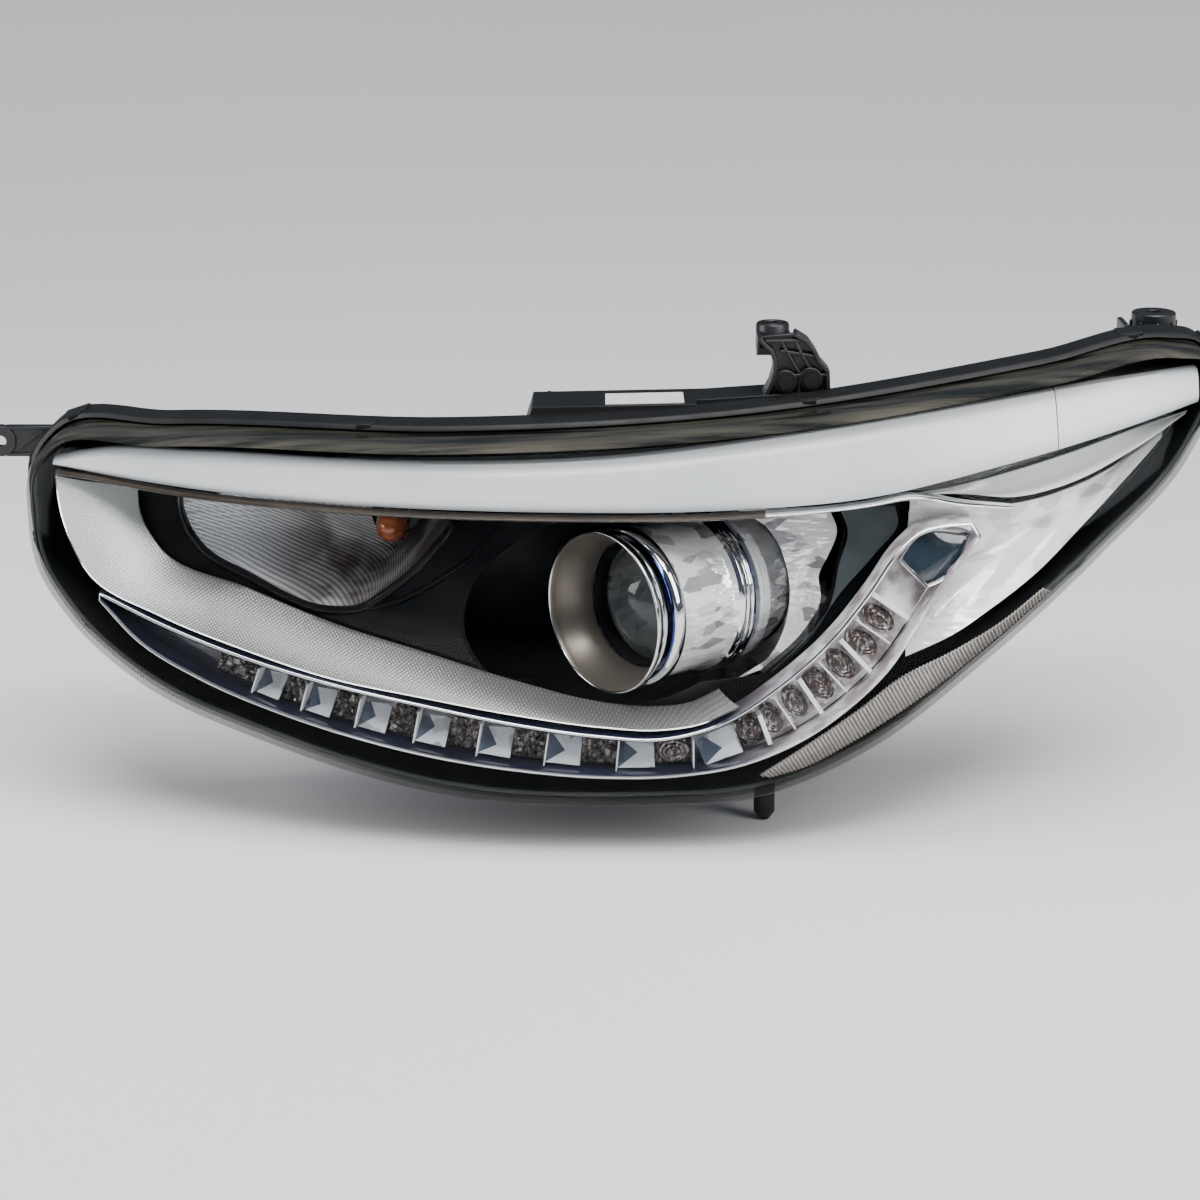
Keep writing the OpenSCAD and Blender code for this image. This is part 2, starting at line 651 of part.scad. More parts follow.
// Wire clip that holds the bulb: two arms and a bar, hinged at the grille side
module bulb_clip() {
    color("#d0d2d4") at_projector(0, 145, 0) {
        for (z = [-8.5, 8.5]) translate([-19, 0, z]) rotate([0, 90, 0]) cylinder(h = 36, r = 0.8);
        translate([17, 0, -9.3]) cylinder(h = 18.6, r = 0.8);
        translate([-19, 0, -13]) cylinder(h = 26, r = 0.8);
    }
}

// ---- Aiming ----

frame_left = -45;
frame_right = 54;

module aim_frame() {
    color("#2b2d30") difference() {
        union() {
            at_projector(frame_left, pivot_depth - 4, -54)
                cube([frame_right - frame_left, 8, 114]);
            at_projector(leveller_x - 6, pivot_depth - 4, leveller_z - 5) cube([12, 8, 14]);
            // Pins of the up-and-down aiming pivot
            at_projector(frame_left - 5.5, pivot_depth, 0) rotate([0, 90, 0])
                cylinder(h = 8, r = pivot_r);
            at_projector(frame_right - 2, pivot_depth, 0) rotate([0, 90, 0])
                cylinder(h = 9, r = pivot_r);
        }
        on_projector(100) cylinder(h = 30, r = 40);
        at_projector(0, pivot_depth, -70) cylinder(h = 140, r = pivot_r + fit);
    }
}

module pivot_posts() {
    color("#1a1b1d") difference() {
        union() {
            // Grille-side post from the rear wall, fender-side post from the floor
            at_projector(frame_left - 6, pivot_depth - 5, -5) cube([5, 14.5, 10]);
            at_projector(frame_right + 4.5, pivot_depth, -76) cylinder(h = 84, r = 4);
            at_projector(frame_right + 4.5, pivot_depth, 0) rotate([0, 90, 0])
                translate([0, 0, -3.6]) cylinder(h = 7.2, r = 5.5);
        }
        at_projector(frame_left - 12, pivot_depth, 0) rotate([0, 90, 0])
            cylinder(h = 200, r = pivot_r + fit);
    }
}

module leveller_motor() {
    color("#2c3033") difference() {
        leveller_line(174.3) union() {
            cylinder(h = 6, r = 16);
            translate([-21, -16, 6]) cube([30, 36, 30]);
            translate([-9, -12, 36]) cube([18, 12, 10]);
            translate([0, 20, 18]) rotate([-90, 0, 0]) cylinder(h = 5, r = 9);
        }
        leveller_line(170) cylinder(h = 34, r = 4 + fit);
        leveller_line(174.3) translate([-6.5, -9.5, 39]) cube([13, 7, 12]);
        at_projector(leveller_x, 192.3, leveller_z - 30) cylinder(h = 20, r = 3 + fit);
    }
}

module leveller_pushrod() {
    color("#d8d9d6") {
        leveller_line(117) cylinder(h = 80, r = 4);
        leveller_line(116.7) cylinder(h = 3, r = 6);
    }
}

module vertical_adjuster() {
    color("#c9c6bd") at_projector(leveller_x, 192.3, leveller_z - 40) {
        cylinder(h = 28, r = 3);
        gear(11, 16, 5);
    }
}

// A toothed adjusting wheel
module gear(r, teeth, h) {
    linear_extrude(h) difference() {
        circle(r = r);
        for (i = [0:teeth - 1]) rotate(i * 360 / teeth) translate([r, 0]) circle(r = 1.1, $fn = 16);
    }
}

module horizontal_adjuster() {
    color("#c9c6bd") {
        screw_line(119.5) cylinder(h = 46, r = 4);
        screw_line(153.2) gear(12, 18, 6);
    }
}

// ---- Rear covers ----

module rear_cap() {
    base = on_rear(cap_at, 15.3);
    color("#222427") in_lamp() difference() {
        union() {
            rod_t(base, 10, cap_r, cap_r - 2);
            translate(base + [-cap_r + 8, 8, -5]) cube([2 * cap_r - 16, 12, 10]);
            for (a = [0:20:340])
                translate(base) rotate([0, a, 0]) translate([cap_r - 1, 1, -2]) cube([2.5, 8, 4]);
        }
        rod_t(base - [0, 1, 0], 8, cap_r - 5);
    }
}

module rear_cap_seal() {
    color("#2f3033") in_lamp() difference() {
        union() {
            rod_t(on_rear(cap_at, 12.3), 2.7, cap_r - 1);
            rod_t(on_rear(cap_at, 2), 11, cap_r - 8.3);
        }
        rod_t(on_rear(cap_at, -5), 30, cap_r - 12);
    }
}

// ---- Mounting ----

module upper_bracket() {
    color("#17181a") in_lamp() difference() {
        union() {
            translate([0, 70, 0]) rotate([90, 0, 0]) translate([0, 0, -8]) linear_extrude(16)
                polygon([[86, 92], [93, 101], [96.5, 108], [98.2, 115], [98, 121], [95.5, 126.5],
                    [91, 130.5], [89, 134], [109, 136], [116, 131], [120, 125.5],
                    [123, 119.5], [127.5, 114.5], [128.5, 107], [120, 92]]);
            translate([98, 92, 122]) cylinder(h = 15, r = 9.5);
            translate([88.5, 74, 122]) cube([19, 18, 9]);
            translate([80, 63.5, 88]) cube([52, 20.5, 5]);
        }
        translate([98, 92, 110]) cylinder(h = 40, r = bolt_r);
        translate([106.5, 57, 114.5]) rotate([0, -32, 0]) cube([4, 9, 14]);
        translate([114.5, 57, 113.5]) rotate([0, -32, 0]) cube([4, 9, 14]);
    }
}

module outer_bracket() {
    color("#17181a") in_lamp() difference() {
        union() {
            translate([328, 160, 108]) cylinder(h = 22, r = 13);
            translate([302, 130, 106]) cube([44, 39, 6]);
            translate([306, 134, 110]) rotate([0, 12, 0]) cube([7, 24, 18]);
        }
        translate([328, 160, 90]) cylinder(h = 40, r = bolt_r);
    }
}

module grille_tab() {
    color("#17181a") in_lamp() difference() {
        union() {
            translate([-346, 100, 66]) rotate([-90, 0, 0]) translate([0, 0, -3])
                cylinder(h = 6, r = 9);
            translate([0, 97, 0]) rotate([-90, 0, 0]) linear_extrude(6)
                polygon([[-346, -57], [-325, -57], [-321.6, -66], [-313, -75], [-346, -75]]);
        }
        translate([-346, 80, 66]) rotate([-90, 0, 0]) cylinder(h = 40, r = tab_hole_r);
    }
}

module bracket_screws() {
    color("#9a9c9e") in_lamp() {
        translate([104, 58.9, 108.8]) rotate([-90, 0, 0]) screw_head();
        translate([118, 58.9, 110.2]) rotate([-90, 0, 0]) screw_head();
    }
}
module screw_head() {
    cylinder(h = 3, r = 4.5, $fn = 6);
    translate([0, 0, 2]) cylinder(h = 1, r = 6);
}

module locating_pin() {
    color("#17181a") in_lamp() {
        translate([94, 26, -134]) cylinder(h = 20, r = pin_r);
        translate([94, 26, -114]) cylinder(h = 5, r = pin_r + 2.5);
        translate([94, 26, -138.5]) cylinder(h = 4.5, r1 = pin_r - 3, r2 = pin_r);
        translate([82, 21.5, -114]) cube([24, 13, 13]);
    }
}

// Finned box with the driver circuit of the daytime running light
driver_at = [-20, -34];
module drl_driver() {
    color("#5c6064") in_lamp() on_wall(driver_at, 0.05) {
        translate([-34, 0, -24]) cube([68, 5, 48]);
        translate([-28, 4, -18]) cube([56, 10, 36]);
        for (i = [0:6]) translate([-25.2 + i * 8, 13, -16]) cube([2.4, 6, 32]);
    }
}

module driver_screws() {
    color("#9a9c9e") in_lamp() on_wall(driver_at, 5.1) for (x = [-31, 31]) for (z = [-20, 20])
        translate([x, 0, z]) rotate([-90, 0, 0]) cylinder(h = 2.6, r = 2.8);
}

module harness_connector() {
    in_lamp() on_wall([30, 44], 0.05) {
        color("#242629") difference() {
            union() {
                translate([-22, 0, -15]) cube([44, 4, 30]);
                translate([-18, 3, -11]) cube([36, 22, 22]);
            }
            translate([-15.5, 6, -8.5]) cube([31, 30, 17]);
        }
        color("#c9b26a") for (x = [-12:6:12]) for (z = [-4, 4])
            translate([x - 0.4, 5, z - 1.2]) cube([0.8, 6, 2.4]);
    }
}

module vent_caps() {
    color("#2b2c2f") in_lamp() for (p = [[-190, 12], [230, 20], [60, -62]])
        let (b = on_rear(p, -1)) difference() {
            union() {
                rod_t(b, 7, 5);
                rod_t(b + [0, 6.5, 0], 8, 8, 7);
            }
            rod_t(b + [0, 11, 0], 10, 3);
        }
}

module blank_label() {
    color("#e9e9e6") in_lamp() translate([25, 66, 98.52]) rotate([0, -1.17, 0])
        cube([44, 26, 0.4], center = true);
}

housing();
lens();
lens_seal();
main_bezel();
silver_trim();
light_bar();
light_bar_trim();
light_bar_carrier();
light_bar_board();
light_bar_leds();
satin_fillet();
drl_frame();
drl_lens();
drl_reflector();
drl_board();
drl_leds();
end_window();
outer_reflector();
ribbed_trim();
turn_reflector();
turn_bulb();
turn_socket();
turn_seal();
marker_bulb();
marker_socket();
marker_seal();
projector_surround();
trumpet();
barrel();
projector_lens();
lens_ring();
lens_holder();
projector_bowl();
shutter();
solenoid();
solenoid_plunger();
low_beam_bulb();
bulb_clip();
aim_frame();
pivot_posts();
leveller_motor();
leveller_pushrod();
vertical_adjuster();
horizontal_adjuster();
rear_cap();
rear_cap_seal();
upper_bracket();
outer_bracket();
grille_tab();
bracket_screws();
locating_pin();
drl_driver();
driver_screws();
harness_connector();
vent_caps();
blank_label();
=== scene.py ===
"""A car headlight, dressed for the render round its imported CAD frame.

Places in the lamp are [s, z] pairs or [s, t, z] points in millimetres: s runs along the lamp from
the grille end to the fender end, t runs back from the lens and z runs up. Places round the
projector are [x, back, z] from the middle of its front rim, along the row's own axes.
"""

from math import atan, atan2, cos, pi, radians, sin

import bmesh
import bpy
from mathutils import Matrix, Vector, noise


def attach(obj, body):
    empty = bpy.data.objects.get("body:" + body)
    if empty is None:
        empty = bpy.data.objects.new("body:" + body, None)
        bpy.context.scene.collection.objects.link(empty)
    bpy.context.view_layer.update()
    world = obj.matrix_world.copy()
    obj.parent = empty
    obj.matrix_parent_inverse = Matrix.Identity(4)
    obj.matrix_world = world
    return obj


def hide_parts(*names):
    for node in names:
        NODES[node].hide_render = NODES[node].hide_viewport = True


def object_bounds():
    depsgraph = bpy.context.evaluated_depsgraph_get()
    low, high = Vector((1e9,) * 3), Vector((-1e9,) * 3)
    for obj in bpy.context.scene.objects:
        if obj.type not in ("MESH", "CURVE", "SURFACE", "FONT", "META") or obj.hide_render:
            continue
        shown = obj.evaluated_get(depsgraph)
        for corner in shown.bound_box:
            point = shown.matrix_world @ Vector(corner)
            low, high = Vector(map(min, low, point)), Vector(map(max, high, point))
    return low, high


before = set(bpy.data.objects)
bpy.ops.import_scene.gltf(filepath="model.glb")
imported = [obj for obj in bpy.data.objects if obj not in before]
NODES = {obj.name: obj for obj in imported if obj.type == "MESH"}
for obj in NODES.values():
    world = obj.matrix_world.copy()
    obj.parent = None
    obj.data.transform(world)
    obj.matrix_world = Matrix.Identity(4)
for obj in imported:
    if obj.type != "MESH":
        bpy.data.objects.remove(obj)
CAD_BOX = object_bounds()

# ---- The lamp's frame ----

MM = 0.001
SWEEP = radians(48)
BOLT_AT = Vector((98, 92, 131))
RIM_AT = Vector((1, 5, -9))
LENS_BOW, HALF_LENGTH, LENS_FRONT, LENS_RAKE = 72, 325, 40, 0.18
REAR_WALL, REAR_SLOPE = 120, 0.1
LAMP = Matrix.Rotation(SWEEP, 4, "Z") @ Matrix.Translation(-BOLT_AT * MM)
PROJECTOR = Matrix.Translation(LAMP @ (RIM_AT * MM))
PROJECTOR_IN_LAMP = LAMP.inverted() @ PROJECTOR
PROJECTOR_IN_LAMP.translation /= MM

CAP_AT, CAP_BORE = (130, -6), 38
TURN_AT, TURN_BORE = (-118, 26), 15
MARKER_AT, MARKER_BORE = (244, 36), 8
LEVEL_AT, LEVEL_BORE = (-28, -63), 9.5
SCREW_AT, SCREW_BORE = (-42, 48), 4.05
WALL, HOUSING_DEPTH = 3, 80
PLATE_DEPTH, PROJECTOR_OPENING = 46, 55
CAMERA_AWAY, CAMERA_WIDE, CAMERA_RISE = 1.5, 0.66, radians(17)
FLOOR_HALF, FLOOR_GAP = 40.0, 0.0006
GLASS_R = 34.5
TRUMPET_R = 46
BARREL_R = 48


def face(s, z):
    """Depth of the lens face at a place along and up the lamp."""
    return -LENS_FRONT + LENS_BOW * (s / HALF_LENGTH) ** 2 + LENS_RAKE * z + z * z / 700


def rear(s):
    return REAR_WALL + REAR_SLOPE * s


def behind(p, depth):
    return Vector((p[0], face(p[0], p[1]) + depth, p[1]))


def on_rear(p, out=0.0):
    return Vector((p[0], rear(p[0]) + out, p[1]))


def at_rear(p, out=0.0):
    return Matrix.Translation(on_rear(p, out))


def beside_projector(p):
    """Millimetre frame that points along the car, off the projector's axis by [x, z]."""
    return PROJECTOR_IN_LAMP @ Matrix.Translation((p[0], 0, p[1]))


def wall_frame(p, out):
    """Millimetre frame standing on the rear wall, its Y pointing out of it."""
    return at_rear(p, out) @ Matrix.Rotation(atan(REAR_SLOPE), 4, "Z")


def face_frame(p, depth, roll):
    """Millimetre frame on the lens face, its Y pointing into the lamp, rolled about Y."""
    turn = atan(2 * LENS_BOW * p[0] / HALF_LENGTH**2)
    lean = atan(LENS_RAKE + 2 * p[1] / 700)
    place = Matrix.Translation(behind(p, depth)) @ Matrix.Rotation(turn, 4, "Z")
    return place @ Matrix.Rotation(-lean, 4, "X") @ Matrix.Rotation(roll, 4, "Y")


# ---- Smooth curves through a few points ----


def knot(points, i, closed):
    return points[i % len(points)] if closed else points[max(0, min(len(points) - 1, i))]


def slope(points, i, closed):
    a, b, c = (knot(points, i + k, closed) for k in (-1, 0, 1))
    da, dc = (b - a).length, (c - b).length
    if da == 0:
        return (c - b) / dc
    if dc == 0:
        return (b - a) / da
    return ((b - a) / da * dc + (c - b) / dc * da) / (da + dc)


def span(points, i, f, closed=False):
    a, b = knot(points, i, closed), knot(points, i + 1, closed)
    d = (b - a).length
    return (
        (2 * f**3 - 3 * f**2 + 1) * a
        + (f**3 - 2 * f**2 + f) * d * slope(points, i, closed)
        + (3 * f**2 - 2 * f**3) * b
        + (f**3 - f**2) * d * slope(points, i + 1, closed)
    )


def loop(points, steps):
    """A closed smooth curve."""
    points = [Vector(p) for p in points]
    return [span(points, i, j / steps, True) for i in range(len(points)) for j in range(steps)]


class Curve:
    """An open smooth curve, measured by the distance along its points."""

    def __init__(self, *points):
        self.points = [Vector(p) for p in points]
        self.runs = [0.0]
        for a, b in zip(self.points, self.points[1:]):
            self.runs.append(self.runs[-1] + (b - a).length)

    def at(self, f):
        u = f * self.runs[-1]
        i = max(j for j in range(len(self.points) - 1) if self.runs[j] <= u or j == 0)
        return span(self.points, i, (u - self.runs[i]) / (self.runs[i + 1] - self.runs[i]))

    def walk(self, n, start=0.0, end=1.0):
        return [self.at(start + (end - start) * i / n) for i in range(n + 1)]


def inset(points, d):
    """A closed clockwise curve moved inwards by d."""
    moved = []
    for i, p in enumerate(points):
        v = points[(i + 1) % len(points)] - points[i - 1]
        moved.append(p + Vector((v.y, -v.x)) / v.length * d)
    return moved


def ease(x):
    x = max(0.0, min(1.0, x))
    return x * x * (3 - 2 * x)


# ---- Solids ----


class Shape:
    """The points and faces of one or more closed solids, in millimetres."""

    def __init__(self):
        self.points = []
        self.faces = []
        self.paint = []

    def add(self, points, faces, paint=0, place=None):
        start = len(self.points)
        self.points += [place @ Vector(p) if place else Vector(p) for p in points]
        self.faces += [[start + k for k in f] for f in faces]
        self.paint += paint if isinstance(paint, list) else [paint] * len(faces)
        return self

    def skin(self, rings, ends=None, paint=0, place=None, row_paint=None):
        """Rings of equal length joined in a row: wrapped round like a tyre, or with flat ends,
        or with each end drawn to one of two given points."""
        n, m = len(rings[0]), len(rings)
        faces, paints = [], []
        for j in range(m if ends is None else m - 1):
            for i in range(n):
                a, b = j * n + i, j * n + (i + 1) % n
                k = (j + 1) % m * n
                faces.append([a, b, k + (i + 1) % n, k + i])
                paints.append(row_paint(j) if row_paint else paint)
        points = [p for r in rings for p in r]
        if ends == "flat":
            faces += [list(range(n))[::-1], [(m - 1) * n + i for i in range(n)]]
            paints += [paint, paint]
        elif ends is not None:
            points += list(ends)
            for i in range(n):
                faces.append([m * n, (i + 1) % n, i])
                faces.append([m * n + 1, (m - 1) * n + i, (m - 1) * n + (i + 1) % n])
                paints += [paint, paint]
        return self.add(points, faces, paints, place)

    def lathe(self, profile, n=96, paint=0, place=None, row_paint=None):
        """A ring turned round the Y axis, from [radius, distance along Y]."""
        rings = []
        for r, y in profile:
            turn = [2 * pi * i / n for i in range(n)]
            rings.append([Vector((max(r, 1e-4) * cos(a), y, max(r, 1e-4) * sin(a))) for a in turn])
        return self.skin(rings, None, paint, place, row_paint)

    def rod(self, r, y0, y1, n, place):
        rings = []
        for y in (y0, y1):
            turn = [2 * pi * i / n for i in range(n)]
            rings.append([Vector((r * cos(a), y, r * sin(a))) for a in turn])
        return self.skin(rings, "flat", 0, place)

    def box(self, low, high, paint=0, place=None):
        xs, ys, zs = zip(low, high)
        corners = [(x, y, z) for x in xs for y in ys for z in zs]
        sides = [(0, 1, 3, 2), (4, 6, 7, 5), (0, 4, 5, 1), (2, 3, 7, 6), (0, 2, 6, 4), (1, 5, 7, 3)]
        return self.add(corners, [list(f) for f in sides], paint, place)

    def prism(self, outline, y0, y1, paint=0, place=None):
        """An outline of [x, z] drawn out along Y."""
        rings = [[Vector((p[0], y, p[1])) for p in outline] for y in (y0, y1)]
        return self.skin(rings, "flat", paint, place)

    def wall(self, line, width, y0, y1, place=None):
        """A wall of even width that follows a line of [x, z]."""
        line = [Vector(p) for p in line]
        sides = []
        for i, p in enumerate(line):
            v = line[min(i + 1, len(line) - 1)] - line[max(i - 1, 0)]
            sides.append(Vector((v.y, -v.x)) / v.length * width / 2)
        left = [p + s for p, s in zip(line, sides)]
        right = [p - s for p, s in zip(line, sides)]
        return self.prism(left + right[::-1], y0, y1, 0, place)


def bands(*stripes):
    """Chooses each row's paint, from [first row, last row, paint]; the other rows get 0."""
    return lambda j: next((paint for first, last, paint in stripes if first <= j <= last), 0)


def strip_rings(top, low, depth, thick, n, m, start=0.0, end=1.0):
    """Rings of a plate between two curves; depth(u, v) is how far it lies behind the lens."""
    a, b = top.walk(n, start, end), low.walk(n, start, end)
    rings = []
    for i in range(n + 1):
        front, back = [], []
        for j in range(m + 1):
            p = a[i].lerp(b[i], j / m)
            d = depth(i / n, j / m)
            front.append(behind(p, d))
            back.append(behind(p, d + thick))
        rings.append(front + back[::-1])
    return rings


def sheet(top, low, depth, thick, n, m):
    """A closed plate between two curves."""
    return Shape().skin(strip_rings(top, low, depth, thick, n, m), "flat")


def hoop_rings(outline, section):
    """Rings all round a closed curve, from a section of [inset, depth]."""
    return [[behind(p, depth) for p in inset(outline, d)] for d, depth in section]


def put(name, data):
    """A new object in the scene."""
    made = bpy.data.objects.new(name, data)
    bpy.context.scene.collection.objects.link(made)
    return made


def raw(name, shape, paints):
    """A new object with the shape's mesh, in metres, not yet in its place."""
    mesh = bpy.data.meshes.new(name)
    mesh.from_pydata([p * MM for p in shape.points], [], shape.faces)
    for paint in paints:
        mesh.materials.append(paint)
    mesh.polygons.foreach_set("material_index", shape.paint)
    tidy(mesh)
    return put(name, mesh)


def make(name, shape, paints, place=LAMP, body="housing", nodes=(), bevel=0.0, smooth=35):
    """Turns a shape into a piece that rides on a body and stands for some CAD nodes."""
    piece = raw(name, shape, paints)
    if bevel:
        add_bevel(piece, bevel)
    return settle(piece, place, body, nodes, smooth)


def tidy(mesh):
    """Joins points that coincide and turns every face outwards."""
    shell = bmesh.new()
    shell.from_mesh(mesh)
    bmesh.ops.remove_doubles(shell, verts=shell.verts, dist=2e-6)
    bmesh.ops.recalc_face_normals(shell, faces=shell.faces)
    shell.to_mesh(mesh)
    shell.free()


def add_bevel(piece, width, segments=2, angle=40):
    bevel = piece.modifiers.new("edges", "BEVEL")
    bevel.width = width * MM
    bevel.segments = segments
    bevel.limit_method = "ANGLE"
    bevel.angle_limit = radians(angle)
    bevel.harden_normals = False


def settle(piece, place, body, nodes, smooth=35):
    piece.data.transform(place)
    piece.data.shade_smooth()
    piece.data.set_sharp_from_angle(angle=radians(smooth))
    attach(piece, body)
    if nodes:
        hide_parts(*nodes)
    return piece


def cut(piece, *tools):
    """Cuts solids out of a piece for good, before it settles."""
    for shape in tools:
        tool = raw("tool", shape, [])
        knife = piece.modifiers.new("cut", "BOOLEAN")
        knife.operation = "DIFFERENCE"
        knife.solver = "EXACT"
        knife.object = tool
        bpy.context.view_layer.update()
        graph = bpy.context.evaluated_depsgraph_get()
        shaped = bpy.data.meshes.new_from_object(piece.evaluated_get(graph))
        piece.modifiers.clear()
        piece.data = shaped
        bpy.data.objects.remove(tool)


# ---- Materials ----


class Paint:
    """A procedural material built round one principled shader, in the piece's own coordinates."""

    def __init__(self, name, color, rough, metal=0.0, **sockets):
        self.material = bpy.data.materials.new(name)
        self.material.use_nodes = True
        self.tree = self.material.node_tree
        self.tree.nodes.clear()
        self.out = self.tree.nodes.new("ShaderNodeOutputMaterial")
        self.shader = self.tree.nodes.new("ShaderNodeBsdfPrincipled")
        self.tree.links.new(self.shader.outputs[0], self.out.inputs[0])
        here = self.tree.nodes.new("ShaderNodeTexCoord").outputs["Object"]
        # Turned so that X runs along the lamp and Y goes back from the lens
        self.coords = self.node("Mapping", {"Vector": here, "Rotation": (0, 0, -SWEEP)}).outputs[0]
        self.set("Base Color", (*color, 1.0))
        self.set("Roughness", rough)
        self.set("Metallic", metal)
        for socket, value in sockets.items():
            self.set(socket.replace("_", " "), value)

    def set(self, socket, value):
        if isinstance(value, bpy.types.NodeSocket):
            self.tree.links.new(value, self.shader.inputs[socket])
        else:
            self.shader.inputs[socket].default_value = value

    def node(self, kind, inputs=(), **settings):
        made = self.tree.nodes.new("ShaderNode" + kind)
        for key, value in settings.items():
            setattr(made, key, value)
        for key, value in dict(inputs).items():
            if isinstance(value, bpy.types.NodeSocket):
                self.tree.links.new(value, made.inputs[key])
            else:
                made.inputs[key].default_value = value
        return made

    def along(self, start, end):
        """0 to 1 between two places along the lamp, in millimetres."""
        x = self.node("SeparateXYZ", {0: self.coords}).outputs[0]
        return self.ramp(x, 0, 1, (start - BOLT_AT[0]) * MM, (end - BOLT_AT[0]) * MM)

    def mapped(self, turn=(0, 0, 0), scale=(1, 1, 1)):
        spin = tuple(radians(a) for a in turn)
        inputs = {"Vector": self.coords, "Rotation": spin, "Scale": scale}
        return self.node("Mapping", inputs).outputs[0]

    def noise(self, size, detail=3.0, rough=0.5, vector=None):
        """Noise with blotches about size millimetres across."""
        inputs = {"Vector": vector or self.coords, "Scale": 1 / (size * MM)}
        inputs.update(Detail=detail, Roughness=rough)
        return self.node("TexNoise", inputs).outputs["Fac"]

    def cells(self, size, feature="F1", vector=None, output="Distance"):
        inputs = {"Vector": vector or self.coords, "Scale": 1 / (size * MM)}
        return self.node("TexVoronoi", inputs, feature=feature).outputs[output]

    def waves(self, pitch, turn):
        """Parallel ribs a pitch apart, along X before the turn."""
        inputs = {"Vector": self.mapped(turn), "Scale": pi / 10 / (pitch * MM)}
        return self.node("TexWave", inputs, bands_direction="X").outputs["Fac"]

    def math(self, operation, a, b):
        return self.node("Math", {0: a, 1: b}, operation=operation).outputs[0]

    def ramp(self, fac, low, high, start=0.0, end=1.0):
        """A number that goes from low to high as fac goes from start to end."""
        inputs = {"Value": fac, "From Min": start, "From Max": end, "To Min": low, "To Max": high}
        return self.node("MapRange", inputs).outputs["Result"]

    def blend(self, fac, a, b):
        made = self.node("Mix", {"Factor": fac}, data_type="RGBA")
        for index, color in ((6, a), (7, b)):
            if isinstance(color, bpy.types.NodeSocket):
                self.tree.links.new(color, made.inputs[index])
            else:
                made.inputs[index].default_value = (*color, 1.0)
        return made.outputs[2]

    def bump(self, height, depth, strength=1.0):
        """Bumps depth millimetres high."""
        inputs = {"Height": height, "Distance": depth * MM, "Strength": strength}
        self.set("Normal", self.node("Bump", inputs).outputs[0])

    def mottle(self, fac, start, end, a, b):
        """Colour a, going over to b as fac goes from start to end."""
        self.set("Base Color", self.blend(self.ramp(fac, 0, 1, start, end), a, b))

    def uneven(self, fac, low, high, start=0.35, end=0.7):
        """Roughness from low to high as fac goes from start to end."""
        self.set("Roughness", self.ramp(fac, low, high, start, end))

    def clear(self, gloss, edge=0.5, share=1.0):
        """Lets light straight through, with gloss on top and a share of the grazing reflection."""
        through = self.node("BsdfTransparent")
        fresnel = self.node("LayerWeight", {"Blend": edge}).outputs["Fresnel"]
        outside = self.math("SUBTRACT", 1.0, self.node("NewGeometry").outputs["Backfacing"])
        rim = self.math("MULTIPLY", self.math("MULTIPLY", fresnel, share), outside)
        fac = self.math("MAXIMUM", rim, gloss)
        mix = self.node("MixShader", {0: fac, 1: through.outputs[0], 2: self.shader.outputs[0]})
        self.tree.links.new(mix.outputs[0], self.out.inputs[0])


def moulded(name, color, rough, grain, depth, lift=1.5, **sockets):
    """Moulded plastic: fine grain, a slow drift of shade and slightly uneven gloss."""
    p = Paint(name, color, rough, **sockets)
    light = tuple(min(1.0, c * lift) for c in color)
    p.mottle(p.noise(38, 4), 0.35, 0.7, color, light)
    p.uneven(p.noise(14, 5), rough - 0.07, rough + 0.09, 0.3, 0.7)
    p.bump(p.math("ADD", p.noise(grain, 2), p.ramp(p.cells(grain * 2.2), 0, 0.5)), depth)
    return p.material


def gloss_black(name, color, lit, rough, coat=0.65, shine=0.15):
    """Polished black plastic: a satin base under a clear, faintly waved coat."""
    p = Paint(name, color, 0.36, Coat_Weight=coat, Coat_Roughness=rough, Specular_IOR_Level=shine)
    p.mottle(p.noise(50, 3), 0.35, 0.7, color, lit)
    p.uneven(p.noise(22, 3), 0.32, 0.42, 0.4, 0.7)
    p.bump(p.noise(60, 1), 0.12, 0.5)
    return p.material


def strip_painted_reflection():
    """Painted reflection on the strip's frame and reflector: navy along the flat run, pale and rosy up the
    rise.
    """
    p = Paint("strip_painted_reflection", (0.003, 0.004, 0.012), 0.36, Coat_Weight=0.65, Coat_Roughness=0.06)
    # Painted reflection: navy along the flat run, with a pale, rosy colour taking over between s 70 and
    # 128.
    dark = p.blend(p.ramp(p.noise(50, 3), 0, 1, 0.35, 0.7), (0.003, 0.004, 0.012), (0.008, 0.012, 0.034))
    pale = p.blend(p.ramp(p.noise(16, 3), 0, 1, 0.42, 0.58), (0.36, 0.3, 0.3), (0.86, 0.86, 0.88))
    p.set("Base Color", p.blend(p.along(70, 128), dark, pale))
    p.uneven(p.noise(22, 3), 0.32, 0.42, 0.4, 0.7)
    p.bump(p.noise(60, 1), 0.12, 0.5)
    return p.material


def metallised(name, color, rough, ripple=9.0, depth=0.12):
    """Vapour-coated plastic: mirror bright, with soft ripples and a faint haze."""
    p = Paint(name, color, rough, 1.0)
    haze_and_painted_dark = tuple(c * 0.82 for c in color)
    p.mottle(p.noise(26, 3), 0.35, 0.65, haze_and_painted_dark, color)
    p.uneven(p.noise(7, 4), rough, rough + 0.05, 0.4, 0.75)
    p.bump(p.noise(ripple, 2, 0.4, p.mapped()), depth)
    return p.material


